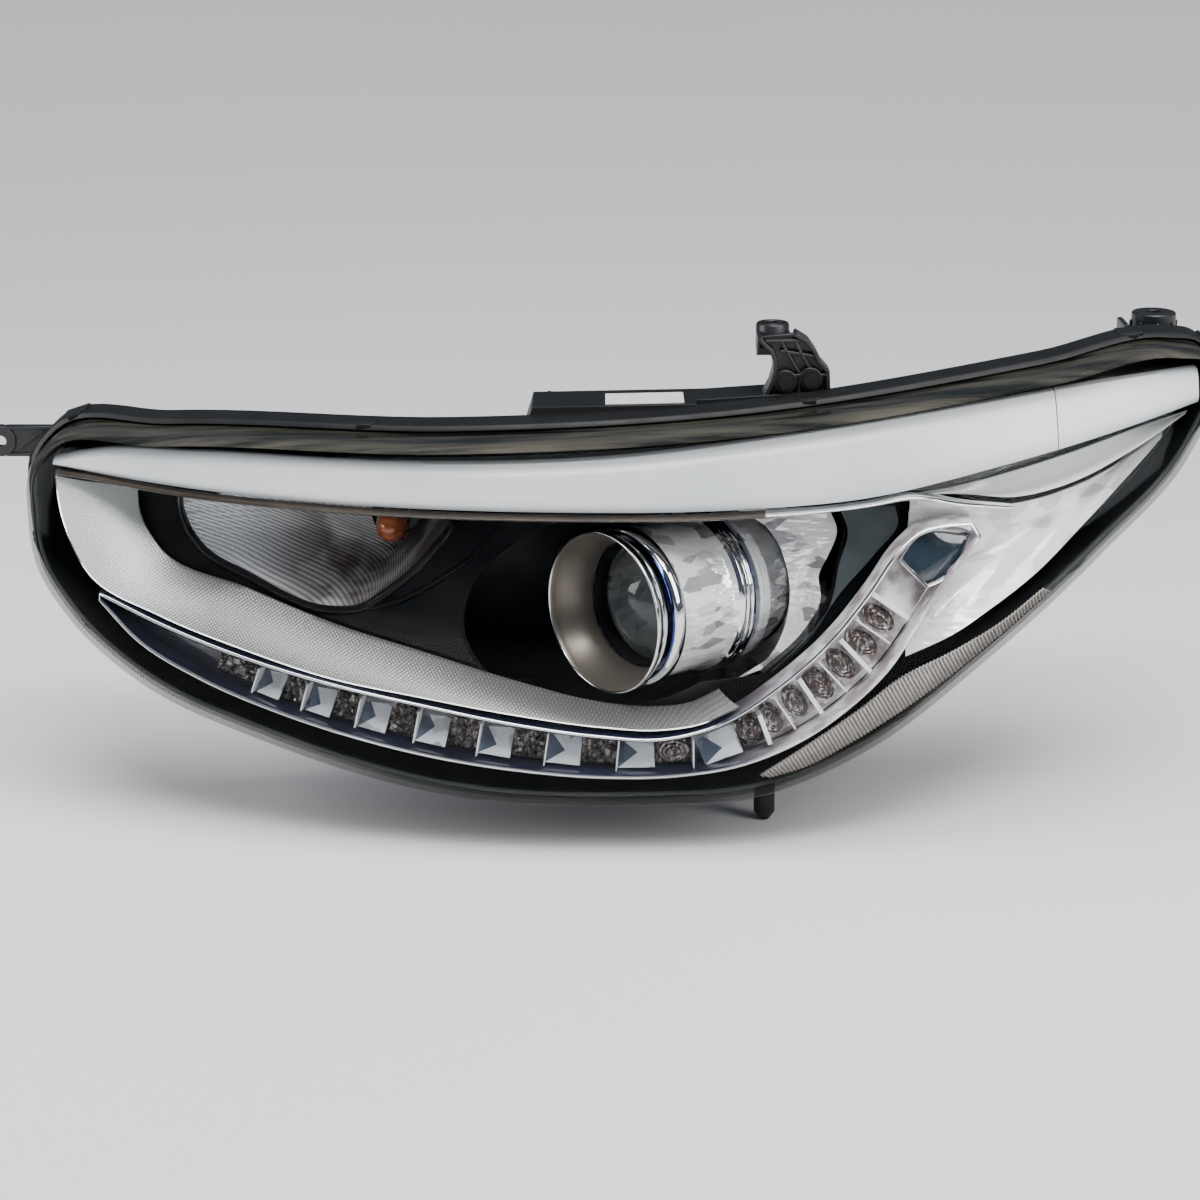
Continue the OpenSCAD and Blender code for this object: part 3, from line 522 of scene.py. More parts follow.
def white_chrome(name, color, rough, ripple, depth, metal, stretch, dark=0.45):
    """A mirror that is so evenly lit that it looks white: part mirror, part white as a painted reflection,
    with broken ripples and darker shards of painted reflection.
    """
    p = Paint(name, color, rough, metal)
    shards = p.cells(ripple, "F1", p.mapped(scale=stretch), "Color")
    split = p.node("SeparateColor", {0: shards}).outputs[0]
    # Painted reflection: darker shards of the near-white base stand for broken dark reflections.
    haze_and_painted_dark = tuple(c * dark for c in color)
    p.mottle(split, 0.08, 0.3, haze_and_painted_dark, color)
    p.uneven(p.noise(5, 3), rough, rough + 0.1, 0.4, 0.75)
    p.bump(p.math("ADD", p.noise(ripple, 2, 0.5, p.mapped(scale=stretch)), p.ramp(split, 0, 0.4)), depth)
    return p.material


def clear_plastic():
    p = Paint("clear_plastic", (0.92, 0.95, 0.97), 0.02, 1.0)
    p.mottle(p.noise(120, 2), 0.35, 0.65, (0.86, 0.9, 0.93), (0.96, 0.98, 1.0))
    p.uneven(p.noise(60, 4), 0.015, 0.05)
    p.bump(p.noise(90, 2), 0.2, 0.5)
    p.clear(0.0, 0.3, 0.16)
    return p.material


def clear_cover(name, share):
    p = Paint(name, (0.9, 0.92, 0.95), 0.05, 1.0)
    p.uneven(p.noise(9, 3), 0.03, 0.1)
    p.bump(p.noise(7, 2), 0.12)
    p.clear(0.0, 0.3, share)
    return p.material


def skirt_painted_streaks():
    """The lens's side wall, seen edge on: brownish and full of soft streaks, which are painted reflections.
    """
    p = Paint("skirt_painted_streaks", (0.045, 0.036, 0.026), 0.1, Coat_Weight=0.7, Coat_Roughness=0.05)
    streaks = p.noise(24, 4, 0.6, p.mapped(scale=(0.25, 2.2, 1.5)))
    # Painted reflection: tan streaks along the lamp over a near-black brown.
    p.mottle(streaks, 0.4, 0.66, (0.012, 0.015, 0.014), (0.135, 0.125, 0.1))
    p.uneven(streaks, 0.06, 0.2, 0.3, 0.7)
    p.clear(0.6, 0.3)
    return p.material


def milky_guide():
    p = Paint("milky_guide", (0.74, 0.775, 0.79), 0.34, Coat_Weight=0.35, Coat_Roughness=0.18)
    p.mottle(p.noise(120, 2), 0.35, 0.65, (0.59, 0.625, 0.65), (0.69, 0.715, 0.735))
    p.uneven(p.noise(5, 3), 0.3, 0.4)
    p.set("Subsurface Weight", 0.25)
    p.set("Subsurface Radius", (0.004, 0.004, 0.004))
    p.set("Subsurface Scale", 1.0)
    p.bump(p.noise(0.5, 2), 0.01)
    return p.material


def woven_silver():
    """Silver paint over a fine moulded lattice, with painted light: lighter at the grille end and painted
    shade in the lattice's valleys.
    """
    p = Paint("woven_silver", (0.5, 0.515, 0.5), 0.36, 0.75)
    lattice = p.math("MULTIPLY", p.waves(1.4, (0, 38, 0)), p.waves(1.4, (0, -62, 0)))
    # Painted light: both colours are lighter at the grille end, falling off by s -215; the darker one sits
    # in the lattice's valleys as painted shade.
    low = p.blend(p.along(-305, -215), (0.7, 0.72, 0.71), (0.19, 0.195, 0.187))
    high = p.blend(p.along(-305, -215), (0.95, 0.96, 0.955), (0.4, 0.41, 0.39))
    p.set("Base Color", p.blend(lattice, low, high))
    p.set("Roughness", p.ramp(lattice, 0.46, 0.3))
    p.bump(lattice, 0.16)
    return p.material


def satin_silver(name, color, rough, metal):
    p = Paint(name, color, rough, metal)
    dark = tuple(c * 0.88 for c in color)
    p.mottle(p.noise(60, 1), 0.3, 0.7, dark, color)
    p.uneven(p.noise(30, 2), rough - 0.03, rough + 0.04)
    p.bump(p.noise(0.25, 2), 0.012)
    return p.material


def fluted_mirror():
    """The indicator's mirror: fine slanted ribs over the whole bowl, with painted reflection, bright at the
    grille end and in soft patches and brown elsewhere, and painted shade in the rib valleys.
    """
    p = Paint("fluted_mirror", (0.74, 0.75, 0.77), 0.32, 0.4, Coat_Weight=0.5, Coat_Roughness=0.08)
    ribs = p.waves(1.6, (0, 66, 0))
    # Painted reflection: soft bright patches, and the whole grille end bright up to s -150; the rest is
    # brown.
    painted_glare = p.ramp(p.noise(30, 3), 0, 0.55, 0.45, 0.6)
    bright = p.math("MAXIMUM", painted_glare, p.math("SUBTRACT", 1.0, p.along(-205, -150)))
    shade = p.blend(bright, (0.2, 0.165, 0.145), (0.93, 0.95, 0.98))
    valley = p.blend(bright, (0.05, 0.043, 0.04), (0.5, 0.51, 0.53))
    # The rib valleys take the darker colours: painted shade.
    p.mottle(ribs, 0.2, 0.6, valley, shade)
    p.uneven(p.noise(6, 3), 0.3, 0.4)
    p.bump(ribs, 0.42, 0.9)
    return p.material


def coated_glass(name, color, rough, gloss, edge):
    p = Paint(name, color, rough, Coat_Weight=1.0, Coat_Roughness=0.02)
    shade = tuple(c * 0.6 for c in color)
    p.mottle(p.noise(18, 2), 0.4, 0.6, shade, color)
    p.clear(gloss, edge)
    return p.material


def crinkled_optic():
    """Clear moulded optics over brown cells: small sharp facets."""
    p = Paint("crinkled_optic", (0.2, 0.155, 0.14), 0.3, 0.6, Coat_Weight=0.7, Coat_Roughness=0.1)
    facets = p.cells(2.6)
    streaks = p.noise(2.6, 4, 0.65, p.mapped((0, 35, 0), (1, 1, 0.3)))
    p.mottle(streaks, 0.5, 0.72, (0.045, 0.032, 0.028), (0.6, 0.56, 0.54))
    p.uneven(p.noise(2, 3), 0.28, 0.4)
    p.bump(facets, 0.9)
    return p.material


def brown_swirl():
    """Ripples of clear plastic over a brown pocket, with pale streaks painted on as highlights."""
    p = Paint("brown_swirl", (0.03, 0.012, 0.01), 0.34, Coat_Weight=0.8, Coat_Roughness=0.05)
    streaks = p.noise(1.9, 4, 0.65, p.mapped((0, 20, 0), (1, 1, 0.5)))
    # Painted highlights: pale streaks over the dark brown.
    p.mottle(streaks, 0.52, 0.66, (0.03, 0.012, 0.01), (0.55, 0.5, 0.5))
    p.uneven(p.noise(2, 3), 0.3, 0.42)
    p.bump(streaks, 0.3)
    return p.material


def rubber(name, color):
    p = Paint(name, color, 0.72, Sheen_Weight=0.2)
    p.mottle(p.noise(9, 4), 0.4, 0.65, color, tuple(c * 2.2 for c in color))
    p.uneven(p.noise(4, 4), 0.62, 0.82)
    p.bump(p.noise(0.6, 3), 0.03)
    return p.material


def bare_metal(name, color, rough=0.28, brushed=(1, 1, 8)):
    p = Paint(name, color, rough, 1.0)
    scratches = p.noise(1.4, 4, 0.6, p.mapped(scale=brushed))
    p.mottle(p.noise(11, 3), 0.4, 0.65, tuple(c * 0.7 for c in color), color)
    p.uneven(scratches, rough - 0.08, rough + 0.14, 0.3, 0.7)
    p.bump(scratches, 0.02)
    return p.material


def circuit_board():
    p = Paint("circuit_board", (0.02, 0.11, 0.045), 0.4, Coat_Weight=0.3)
    tracks = p.cells(4.5, "DISTANCE_TO_EDGE")
    p.set("Base Color", p.blend(p.ramp(tracks, 1, 0, 0.02, 0.09), (0.012, 0.07, 0.03), (0.05, 0.24, 0.1)))
    p.bump(p.ramp(tracks, 1, 0, 0.02, 0.09), 0.03)
    return p.material


def paper():
    p = Paint("blank_paper", (0.8, 0.8, 0.78), 0.5)
    p.mottle(p.noise(6, 4), 0.4, 0.7, (0.72, 0.72, 0.7), (0.84, 0.84, 0.82))
    p.bump(p.noise(0.8, 3), 0.01)
    return p.material


CLEAR = clear_plastic()
SKIRT = skirt_painted_streaks()
BLACK = moulded("housing_black", (0.009, 0.0095, 0.01), 0.42, 0.5, 0.035, Specular_IOR_Level=0.25)
RIB_BLACK = moulded("bracket_black", (0.01, 0.0105, 0.0115), 0.36, 0.7, 0.05)
GLOSS_BLACK = gloss_black("gloss_black", (0.003, 0.0035, 0.004), (0.008, 0.0085, 0.009), 0.05, 0.25, 0.05)
LIP = gloss_black("dark_green_lip", (0.02, 0.027, 0.025), (0.045, 0.05, 0.044), 0.16)
MILKY = milky_guide()
WOVEN = woven_silver()
CHROME = metallised("bright_chrome", (0.86, 0.87, 0.88), 0.06)
WAVY = white_chrome("wavy_chrome", (0.98, 0.985, 0.99), 0.1, 13, 1.8, 0.36, (1, 1, 2.2), 0.35)
BRIGHT = white_chrome("bowl_chrome", (0.98, 0.985, 0.99), 0.16, 14, 0.8, 0.14, (1, 1, 1.6), 0.72)
MIRROR = white_chrome("mirror_chrome", (0.93, 0.96, 1.0), 0.12, 7, 0.5, 0.35, (1, 1, 1))
STRIP_PAINTED_REFLECTION = strip_painted_reflection()
# A dark blue copy of the chrome: painted shade, on the barrel's rear ring and deep in the trumpet.
BLUE_PAINTED_SHADE = metallised("blue_painted_shade", (0.045, 0.07, 0.26), 0.08)
EDGE = metallised("edge_chrome", (0.8, 0.8, 0.8), 0.1, 20, 0.05)
BRONZE = gloss_black("bronze_edge", (0.02, 0.015, 0.011), (0.05, 0.038, 0.028), 0.12)
TEAL = gloss_black("teal_grey", (0.045, 0.056, 0.06), (0.09, 0.105, 0.11), 0.2)
# A dark, slate-blue copy of the mirror chrome: painted shade on one facet of each wedge mirror.
MIRROR_PAINTED_SHADE = white_chrome("mirror_painted_shade", (0.16, 0.19, 0.26), 0.14, 7, 0.5, 0.6, (1, 1, 1))
FLUTED = fluted_mirror()
SATIN = satin_silver("satin_grey", (0.42, 0.44, 0.43), 0.34, 0.6)
WARM = satin_silver("trumpet_satin", (0.27, 0.245, 0.21), 0.35, 0.7)
RIBBED = satin_silver("ribbed_silver", (0.8, 0.75, 0.71), 0.32, 0.7)
# A darker copy of the ribbed silver: painted shade on one slope of each rib.
RIB_PAINTED_SHADE = satin_silver("ribbed_painted_shade", (0.36, 0.33, 0.31), 0.34, 0.7)
OPTIC = crinkled_optic()
ROSE = white_chrome("rose_block", (0.72, 0.66, 0.67), 0.2, 4, 0.9, 0.3, (1, 1, 1))
SWIRL = brown_swirl()
CELL_CLEAR = clear_cover("cell_clear", 0.15)
GLASS = coated_glass("projector_glass", (0.1, 0.12, 0.13), 0.02, 0.42, 0.45)
AMBER = coated_glass("amber_glass", (0.42, 0.09, 0.015), 0.06, 0.8, 0.4)
BULB = coated_glass("bulb_glass", (0.85, 0.86, 0.84), 0.03, 0.18, 0.4)
PANE = coated_glass("blue_grey_pane", (0.02, 0.032, 0.045), 0.08, 0.88, 0.4)
WHITE = moulded("white_divider", (0.74, 0.76, 0.78), 0.3, 0.6, 0.01, 1.1)
RUBBER = rubber("seal_rubber", (0.022, 0.022, 0.024))
GREY = moulded("holder_grey", (0.055, 0.058, 0.062), 0.45, 0.6, 0.03)
IVORY = moulded("ivory_nylon", (0.55, 0.52, 0.43), 0.4, 0.8, 0.02, 1.1)
STEEL = bare_metal("zinc_steel", (0.55, 0.56, 0.56))
CAST = bare_metal("cast_alloy", (0.42, 0.43, 0.45), 0.42, (1, 1, 1))
BOARD = circuit_board()
LED = moulded("led_phosphor", (0.42, 0.4, 0.33), 0.35, 0.5, 0.01, 1.1)
PAPER = paper()

# ---- Outlines on the lens face ----

OUTLINE = loop(
    [
        (-323, 34), (-322, 60), (-310, 75), (-245, 83), (-82, 87), (82, 96), (252, 114),
        (328, 122), (348, 117), (352, 100), (334, 66), (281, 19), (210, -37), (148, -81),
        (89, -105), (22, -109), (-78, -105), (-188, -78), (-258, -51), (-300, -18), (-318, 8),
    ],
    10,
)
BAR_TOP = Curve(
    (-308, 65.5), (-280, 72), (-221, 75), (-109, 75), (0, 79), (109, 90), (222, 102), (281, 107), (341, 110)
)
BAR_LOW = Curve(
    (-308, 62), (-292, 60.5), (-244, 57), (-136, 53), (-32, 52), (76, 52.5), (147, 56), (221, 68),
    (280, 79), (341, 92),
)
EDGE_TOP = Curve(
    (-306, 59.5), (-292, 59), (-244, 55), (-136, 51), (-32, 50), (76, 50.5), (147, 54), (172, 57),
    (200, 52), (228, 48),
)
EDGE_LOW = Curve(
    (-306, 57.5), (-292, 57), (-244, 53), (-136, 49), (-32, 48), (76, 48.5), (147, 52), (172, 54.5),
    (200, 49), (228, 46),
)
TRIM_OUTER = Curve(
    (-307, 56), (-303, 35), (-286, 4), (-245, -14), (-199, -28), (-149, -41), (-99, -49), (-44, -58),
    (0, -64), (33, -66), (55, -63), (76, -54),
)
TRIM_INNER = Curve(
    (-262, 49), (-260, 34), (-248, 16), (-196, -2), (-145, -19), (-100, -31), (-44, -47.2), (0, -58.2),
    (28, -61), (50, -59), (66, -51.6),
)
STRIP_TOP = Curve(
    (-280, -5), (-245, -18), (-199, -32), (-148, -44), (-99, -53), (-44, -63), (0, -69), (33, -71),
    (66, -63), (98, -43), (126, -19), (148, 7), (163, 27), (176, 37), (192, 40),
)
STRIP_LOW = Curve(
    (-280, -8), (-257, -29), (-223, -46), (-177, -62), (-132, -74), (-88, -83), (-44, -89), (0, -92.5),
    (44, -92), (77, -87), (110, -74), (138, -55), (158, -36), (172, -16), (188, 8), (209, 33),
)
PATCH_TOP = Curve((88, -93), (110, -79), (143, -57), (165, -41), (193, -29), (221, -15), (246, 2))
PATCH_LOW = Curve((94, -95), (112, -90), (138, -77), (165, -61), (199, -38), (222, -21), (250, 0))
GLOSS_TOP = Curve((172, 52), (200, 47.5), (228, 44), (262, 49), (300, 63), (330, 80))
GLOSS_LOW = Curve((170, -35), (196, -25), (220, -11), (244, 5), (273, 30), (321, 72))
SATIN_TOP = Curve((175, 57), (200, 60), (228, 65), (262, 72), (300, 81), (334, 88))
SATIN_LOW = Curve((178, 55.5), (202, 54), (230, 50.5), (262, 55), (300, 69), (334, 85.5))
WINDOW_TOP = Curve((165, 23), (176, 35.5), (203, 34.5))
WINDOW_LOW = Curve((180, 8), (188, 11), (198, 22))
PANEL_INNER = Curve((70, 46), (93, 33), (106, 0), (94, -40), (66, -57))
PANEL_OUTER = Curve((126, 46), (132, 31), (127, 18), (122, 8), (123, -6), (114, -22), (90, -44))
SIDE_OPENING = [(40, 45), (131, 46), (136, 33), (131, 14), (127, -6), (116, -25), (90, -46), (40, -50)]
TURN_MOUTH = loop(
    [
        (-236, 44), (-214, 48), (-150, 48), (-96, 46), (-84, 40), (-94, 24), (-120, 0), (-134, -9),
        (-152, -11), (-198, 5), (-224, 18), (-233, 30),
    ],
    12,
)


FACE_SCALES = [0.08, 0.2, 0.35, 0.5, 0.65, 0.8, 0.92]


def shell_row(d, k, depth):
    return [behind(p * k, depth) for p in inset(OUTLINE, d)]


def lamp_shell(shape, rim, front_depth, back_depth, row_paint):
    """A shell over the whole outline; the rim is [inset, depth] from the middle of the front out
    round the edge and back inside."""
    rings = [shell_row(rim[0][0], k, front_depth) for k in FACE_SCALES]
    rings += [[behind(p, depth) for p in inset(OUTLINE, d)] for d, depth in rim]
    rings += [shell_row(rim[-1][0], k, back_depth) for k in FACE_SCALES[::-1]]
    ends = (behind((0, 0), front_depth), behind((0, 0), back_depth))
    return shape.skin(rings, ends, row_paint=row_paint)


# ---- Housing and lens ----


def make_lens():
    """The clear cover: a bowed face, a rounded shoulder and a skirt that sits in the housing."""
    rim = [
        (10, 0), (7.5, 0.7), (5, 2), (3.2, 4), (1.5, 7), (0.5, 10.5), (0, 15), (0, 27), (0.3, 39),
        (0.3, 52), (2.6, 52), (2.6, 30), (2.6, 16), (3.2, 12), (4.2, 9), (5.6, 6.6), (7, 5.2), (9.4, 3.8),
        (12, 3),
    ]
    skirt = (len(FACE_SCALES) + 3, len(FACE_SCALES) + len(rim) - 6, 1)
    shape = Shape()
    lamp_shell(shape, rim, 0, 3, bands(skirt))
    make("lens_cover", shape, [CLEAR, SKIRT], nodes=["lens"], smooth=50)


def housing_point(p, d_scale, depth, on_wall):
    """A point behind the lens face, drawn over to the rear wall by a share."""
    v = p * d_scale
    t = face(v.x, v.y) + depth
    wall = max(t, rear(v.x) + depth - HOUSING_DEPTH)
    return Vector((v.x, t + (wall - t) * on_wall, v.y))


def make_housing():
    """The back shell with its flange and glue channel: [inset, scale, depth, share of rear wall]."""
    rows = [
        (12, 0.08, 80, 1), (12, 0.2, 80, 1), (12, 0.4, 80, 1), (12, 0.6, 80, 1), (12, 0.78, 80, 1),
        (12, 0.9, 80, 1), (10.5, 0.94, 80, 0.9), (8.5, 0.967, 79, 0.66), (6.5, 0.99, 76.5, 0.25),
        (5, 1, 73, 0), (3.5, 1, 68, 0), (2, 1, 63, 0), (-3.4, 1, 60.6, 0), (-4, 1, 59.6, 0),
        (-4, 1, 50, 0), (-4, 1, 38.6, 0), (-3.4, 1, 38, 0), (-1.2, 1, 38, 0), (-1.2, 1, 57.5, 0),
        (3.8, 1, 57.5, 0), (3.8, 1, 46, 0), (6, 1, 46, 0), (6, 1, 62, 0), (8, 1, 73, 0),
        (12, 0.95, 78 - WALL, 0.7), (12, 0.87, 80 - WALL, 1), (12, 0.6, 80 - WALL, 1),
        (12, 0.3, 80 - WALL, 1), (12, 0.1, 80 - WALL, 1),
    ]
    rings = [[housing_point(p, k, depth, wall) for p in inset(OUTLINE, d)] for d, k, depth, wall in rows]
    shell = Shape().skin(rings, (on_rear((0, 0)), on_rear((0, 0), -WALL)))
    piece = raw("housing_shell", shell, [BLACK])
    holes = (
        (CAP_BORE, -20, 50, 64, at_rear(CAP_AT)),
        (TURN_BORE, -20, 50, 48, at_rear(TURN_AT)),
        (MARKER_BORE, -30, 50, 32, at_rear(MARKER_AT)),
        (LEVEL_BORE, 130, 190, 32, beside_projector(LEVEL_AT)),
        (SCREW_BORE, 110, 170, 24, beside_projector(SCREW_AT)),
    )
    cut(piece, *(Shape().rod(r, low, high, n, place=place) for r, low, high, n, place in holes))
    settle(piece, LAMP, "housing", ["housing"], 40)
    make_collars()
    make_housing_ribs()


def make_collars():
    """The collars that the covers and holders sit on, and the two bosses of the aiming gear."""
    shape = Shape()
    collars = (
        (CAP_AT, 42, CAP_BORE, -5, 12),
        (TURN_AT, 18, TURN_BORE, -3, 9),
        (MARKER_AT, 10.5, MARKER_BORE, -8, 7),
    )
    for at, outer, bore, low, high in collars:
        ring = [
            (bore, low), (outer, low), (outer, low + 6), (outer + 2.2, low + 6.4),
            (outer + 2.2, low + 7.6), (outer, low + 8), (outer, high - 0.6), (outer - 0.6, high),
            (bore + 0.6, high), (bore, high - 0.6),
        ]
        shape.lathe(ring, 96, place=at_rear(at))
    bosses = ((LEVEL_AT, 13, LEVEL_BORE, 141, 174), (SCREW_AT, 8, SCREW_BORE, 129, 152.6))
    for at, r, bore, low, high in bosses:
        ring = [(bore, low), (r + 1, low), (r, low + 8), (r, high - 1), (r - 1, high), (bore, high)]
        shape.lathe(ring, 64, place=beside_projector(at))
    make("housing_collars", shape, [BLACK], bevel=0.25)


def make_housing_ribs():
    """Stiffening ribs on the rear wall, the roof block and the clips round the flange."""
    shape = Shape()
    wall = wall_frame((0, 0), -1)
    for z, s0, s1 in ((60, -215, 205), (-4, -80, 78), (-66, -140, 30)):
        shape.wall([(s0, z), (s1, z)], 2, 0, 4.2, place=wall)
    for s, z0, z1 in ((-165, -30, 62), (-70, -66, 62), (70, -4, 62), (196, 2, 62)):
        shape.wall([(s, z0), (s, z1)], 2, 0, 4.2, place=wall)
    for k in (-1, 1):
        shape.wall([(-70, 60), (-70 + 45 * k, -4)], 1.6, 0, 3.6, place=wall)
    shape.prism([(-42, 84), (-38, 97), (54, 98.8), (54, 84)], 50, 90)
    shape.prism([(53, 82), (53, 98.8), (60, 99), (118, 103), (126, 82)], 61.5, 90)
    for s in (-30, -14, 66, 76):
        shape.box((s, 88.5, 84), (s + 2, 97, 96))
    for k in range(14):
        i = int((k + 0.5) * len(OUTLINE) / 14)
        p = inset(OUTLINE, -3.2)[i]
        q = OUTLINE[(i + 1) % len(OUTLINE)] - OUTLINE[i - 1]
        roll = -atan2(q.y, q.x)
        clip = Matrix.Translation(behind(p, 0)) @ Matrix.Rotation(roll, 4, "Y")
        shape.box((-7, 40, -1), (7, 57, 1.4), place=clip)
        shape.box((-4, 37, -1), (4, 41, 1.2), place=clip)
    make("housing_ribs", shape, [BLACK], bevel=0.4)


# ---- Inside the lens ----


def make_bezel():
    """The black inner panel: a deep plate, a side wall and a rolled lip next to the lens."""
    rim = [
        (8.2, 46), (8.0, 44.5), (7, 34), (6, 24), (5.4, 19.4), (5.0, 17.8), (4.4, 17), (3.6, 17),
        (3.4, 17.8), (3.4, 19), (3.8, 20.5), (5, 34), (7, 48),
    ]
    through = (-60, 140)
    shell = Shape()
    lamp_shell(shell, rim, PLATE_DEPTH, PLATE_DEPTH + 2, bands((11, 16, 1)))
    piece = raw("inner_bezel", shell, [GLOSS_BLACK, LIP])
    gloss = GLOSS_TOP.walk(12) + [Vector((328, 72))] + GLOSS_LOW.walk(12)[::-1]
    cut(
        piece,
        *(Shape().prism(outline, *through) for outline in (TURN_MOUTH, gloss, SIDE_OPENING)),
        Shape().rod(PROJECTOR_OPENING, -60, 180, 96, place=PROJECTOR_IN_LAMP),
    )
    settle(piece, LAMP, "housing", ["main_bezel"], 40)
    lips = Shape()
    mouth = [(-3.5, 46), (-2.5, 44.6), (-0.8, 44.2), (0.3, 45.2), (0.6, 50), (-0.6, 50)]
    lips.skin(hoop_rings(TURN_MOUTH, mouth))
    ridge = Curve((-155, -12.6), (-133, -11.5), (-111, -6.2), (-93, 3.5), (-72, 19), (-53, 40))
    crest = Curve((-155, -12.2), (-131, -8.5), (-109, -1.2), (-91, 8.5), (-72, 21.5), (-53, 40.4))

    def swell(u, v):
        return PLATE_DEPTH - 2.4 * sin(pi * v) * sin(pi * u)

    lips.skin(strip_rings(ridge, crest, swell, 2.2, 40, 6), "flat")
    make("bezel_lips", lips, [GLOSS_BLACK], smooth=50)
    beside = Curve((133, 45), (137.5, 33), (132.5, 14), (128.5, -6), (117, -26), (95, -44))
    strip_side = Curve((164, 45), (166, 37), (153, 20), (133, -1), (119, -20), (101, -38))
    plate = sheet(beside, strip_side, lambda u, v: 44.6 - 2 * v, 1.6, 40, 4)
    make("bezel_side_plate", plate, [TEAL], bevel=0.3)


def make_light_bar():
    """The white guide in two lengths with a fine seam, and its bright lower edge."""
    def crowned(u, v):
        return 18 - 3.7 * (1 - (2 * abs(v - 0.5)) ** 4)

    def rounded(u, v):
        return 14.2 - 1.4 * sin(pi * v)

    seam, gap, bronze_end = 0.866, 0.0004, 0.74
    shape = Shape()
    for start, end, n in ((0, seam - gap, 110), (seam + gap, 1, 24)):
        shape.skin(strip_rings(BAR_TOP, BAR_LOW, crowned, 9, n, 14, start, end), "flat")
    make("light_bar_guide", shape, [MILKY], nodes=["light_bar"], bevel=0.3)
    edge = Shape()
    for paint, start, end, n in ((1, 0, bronze_end, 95), (0, bronze_end, 1, 35)):
        edge.skin(strip_rings(EDGE_TOP, EDGE_LOW, rounded, 9, n, 6, start, end), "flat", paint)
    make("light_bar_edge", edge, [EDGE, BRONZE], nodes=["light_bar_trim"], bevel=0.15)


def make_trim():
    """The silver blade with its lattice, and the fine bright line on its outer edge."""
    def depth(u, v):
        return 18 + 23 * (0.45 * v + 0.55 * v * v)
    shape = sheet(TRIM_OUTER, TRIM_INNER, depth, 2, 120, 18)
    make("silver_blade", shape, [WOVEN], nodes=["silver_trim"], bevel=0.35)
    line = Shape()
    outer = TRIM_OUTER.walk(120)
    rings = []
    for i, p in enumerate(outer):
        v = outer[min(i + 1, 120)] - outer[max(i - 1, 0)]
        side = Vector((v.y, -v.x)) / v.length
        q = [p + side * w for w in (0.9, 0.3, -0.2, -0.2, 0.9)]
        rings.append([behind(a, d) for a, d in zip(q, (17.6, 17.0, 17.6, 19.4, 19.4))])
    line.skin(rings, "flat")
    make("silver_blade_edge", line, [EDGE])


def make_satin_fillet():
    """The satin strip under the bar's outer end."""
    shape = sheet(SATIN_TOP, SATIN_LOW, lambda u, v: 17 + 5 * sin(v * pi / 2), 2, 60, 12)
    make("satin_fillet_skin", shape, [SATIN], nodes=["satin_fillet"], bevel=0.2)


def make_outer_reflector():
    """The bright bowl at the fender end, with fine steps under the bar and soft facets."""
    section = Curve((0, 33), (0.12, 43), (0.38, 52), (0.66, 53), (0.86, 43), (1, 32))

    def depth(u, v):
        d = section.at(v).y
        steps = 1.3 * sin(v * 62) * ease(1 - u * 2.2) * ease(1 - v * 3.2)
        facets = 1.6 * sin(u * 23 + 2.2 * sin(v * 9)) * ease(v * 4) * ease((1 - v) * 4)
        return d + steps + facets

    piece = raw("outer_bowl", sheet(GLOSS_TOP, GLOSS_LOW, depth, 2, 90, 48), [BRIGHT])
    cut(piece, Shape().rod(9, -70, 30, 40, place=at_rear(MARKER_AT)))
    settle(piece, LAMP, "housing", ["outer_reflector"], 40)


def make_ribbed_patch():
    """The ribbed patch below: slanted teeth along its whole length, with painted shade on one slope of each
    tooth.
    """
    ribs, slant, steps, rows = 86, 1.6, 6, 10

    def depth(u, v):
        tooth = (u * ribs + v * slant) % 1.0
        return 11.3 + 1.3 * v + 2.4 * abs(2 * tooth - 1)

    shape = sheet(PATCH_TOP, PATCH_LOW, depth, 1.9, ribs * steps, rows)
    # One slope of every tooth takes the darker copy: painted shade.
    round_ring = 2 * (rows + 1)
    for k in range(ribs * steps * round_ring):
        along, across = divmod(k, round_ring)
        if ((along + 0.5) / steps + (across + 0.5) / rows * slant) % 1.0 > 0.5:
            shape.paint[k] = 1
    make("ribbed_patch", shape, [RIBBED, RIB_PAINTED_SHADE], nodes=["ribbed_trim"], smooth=30)


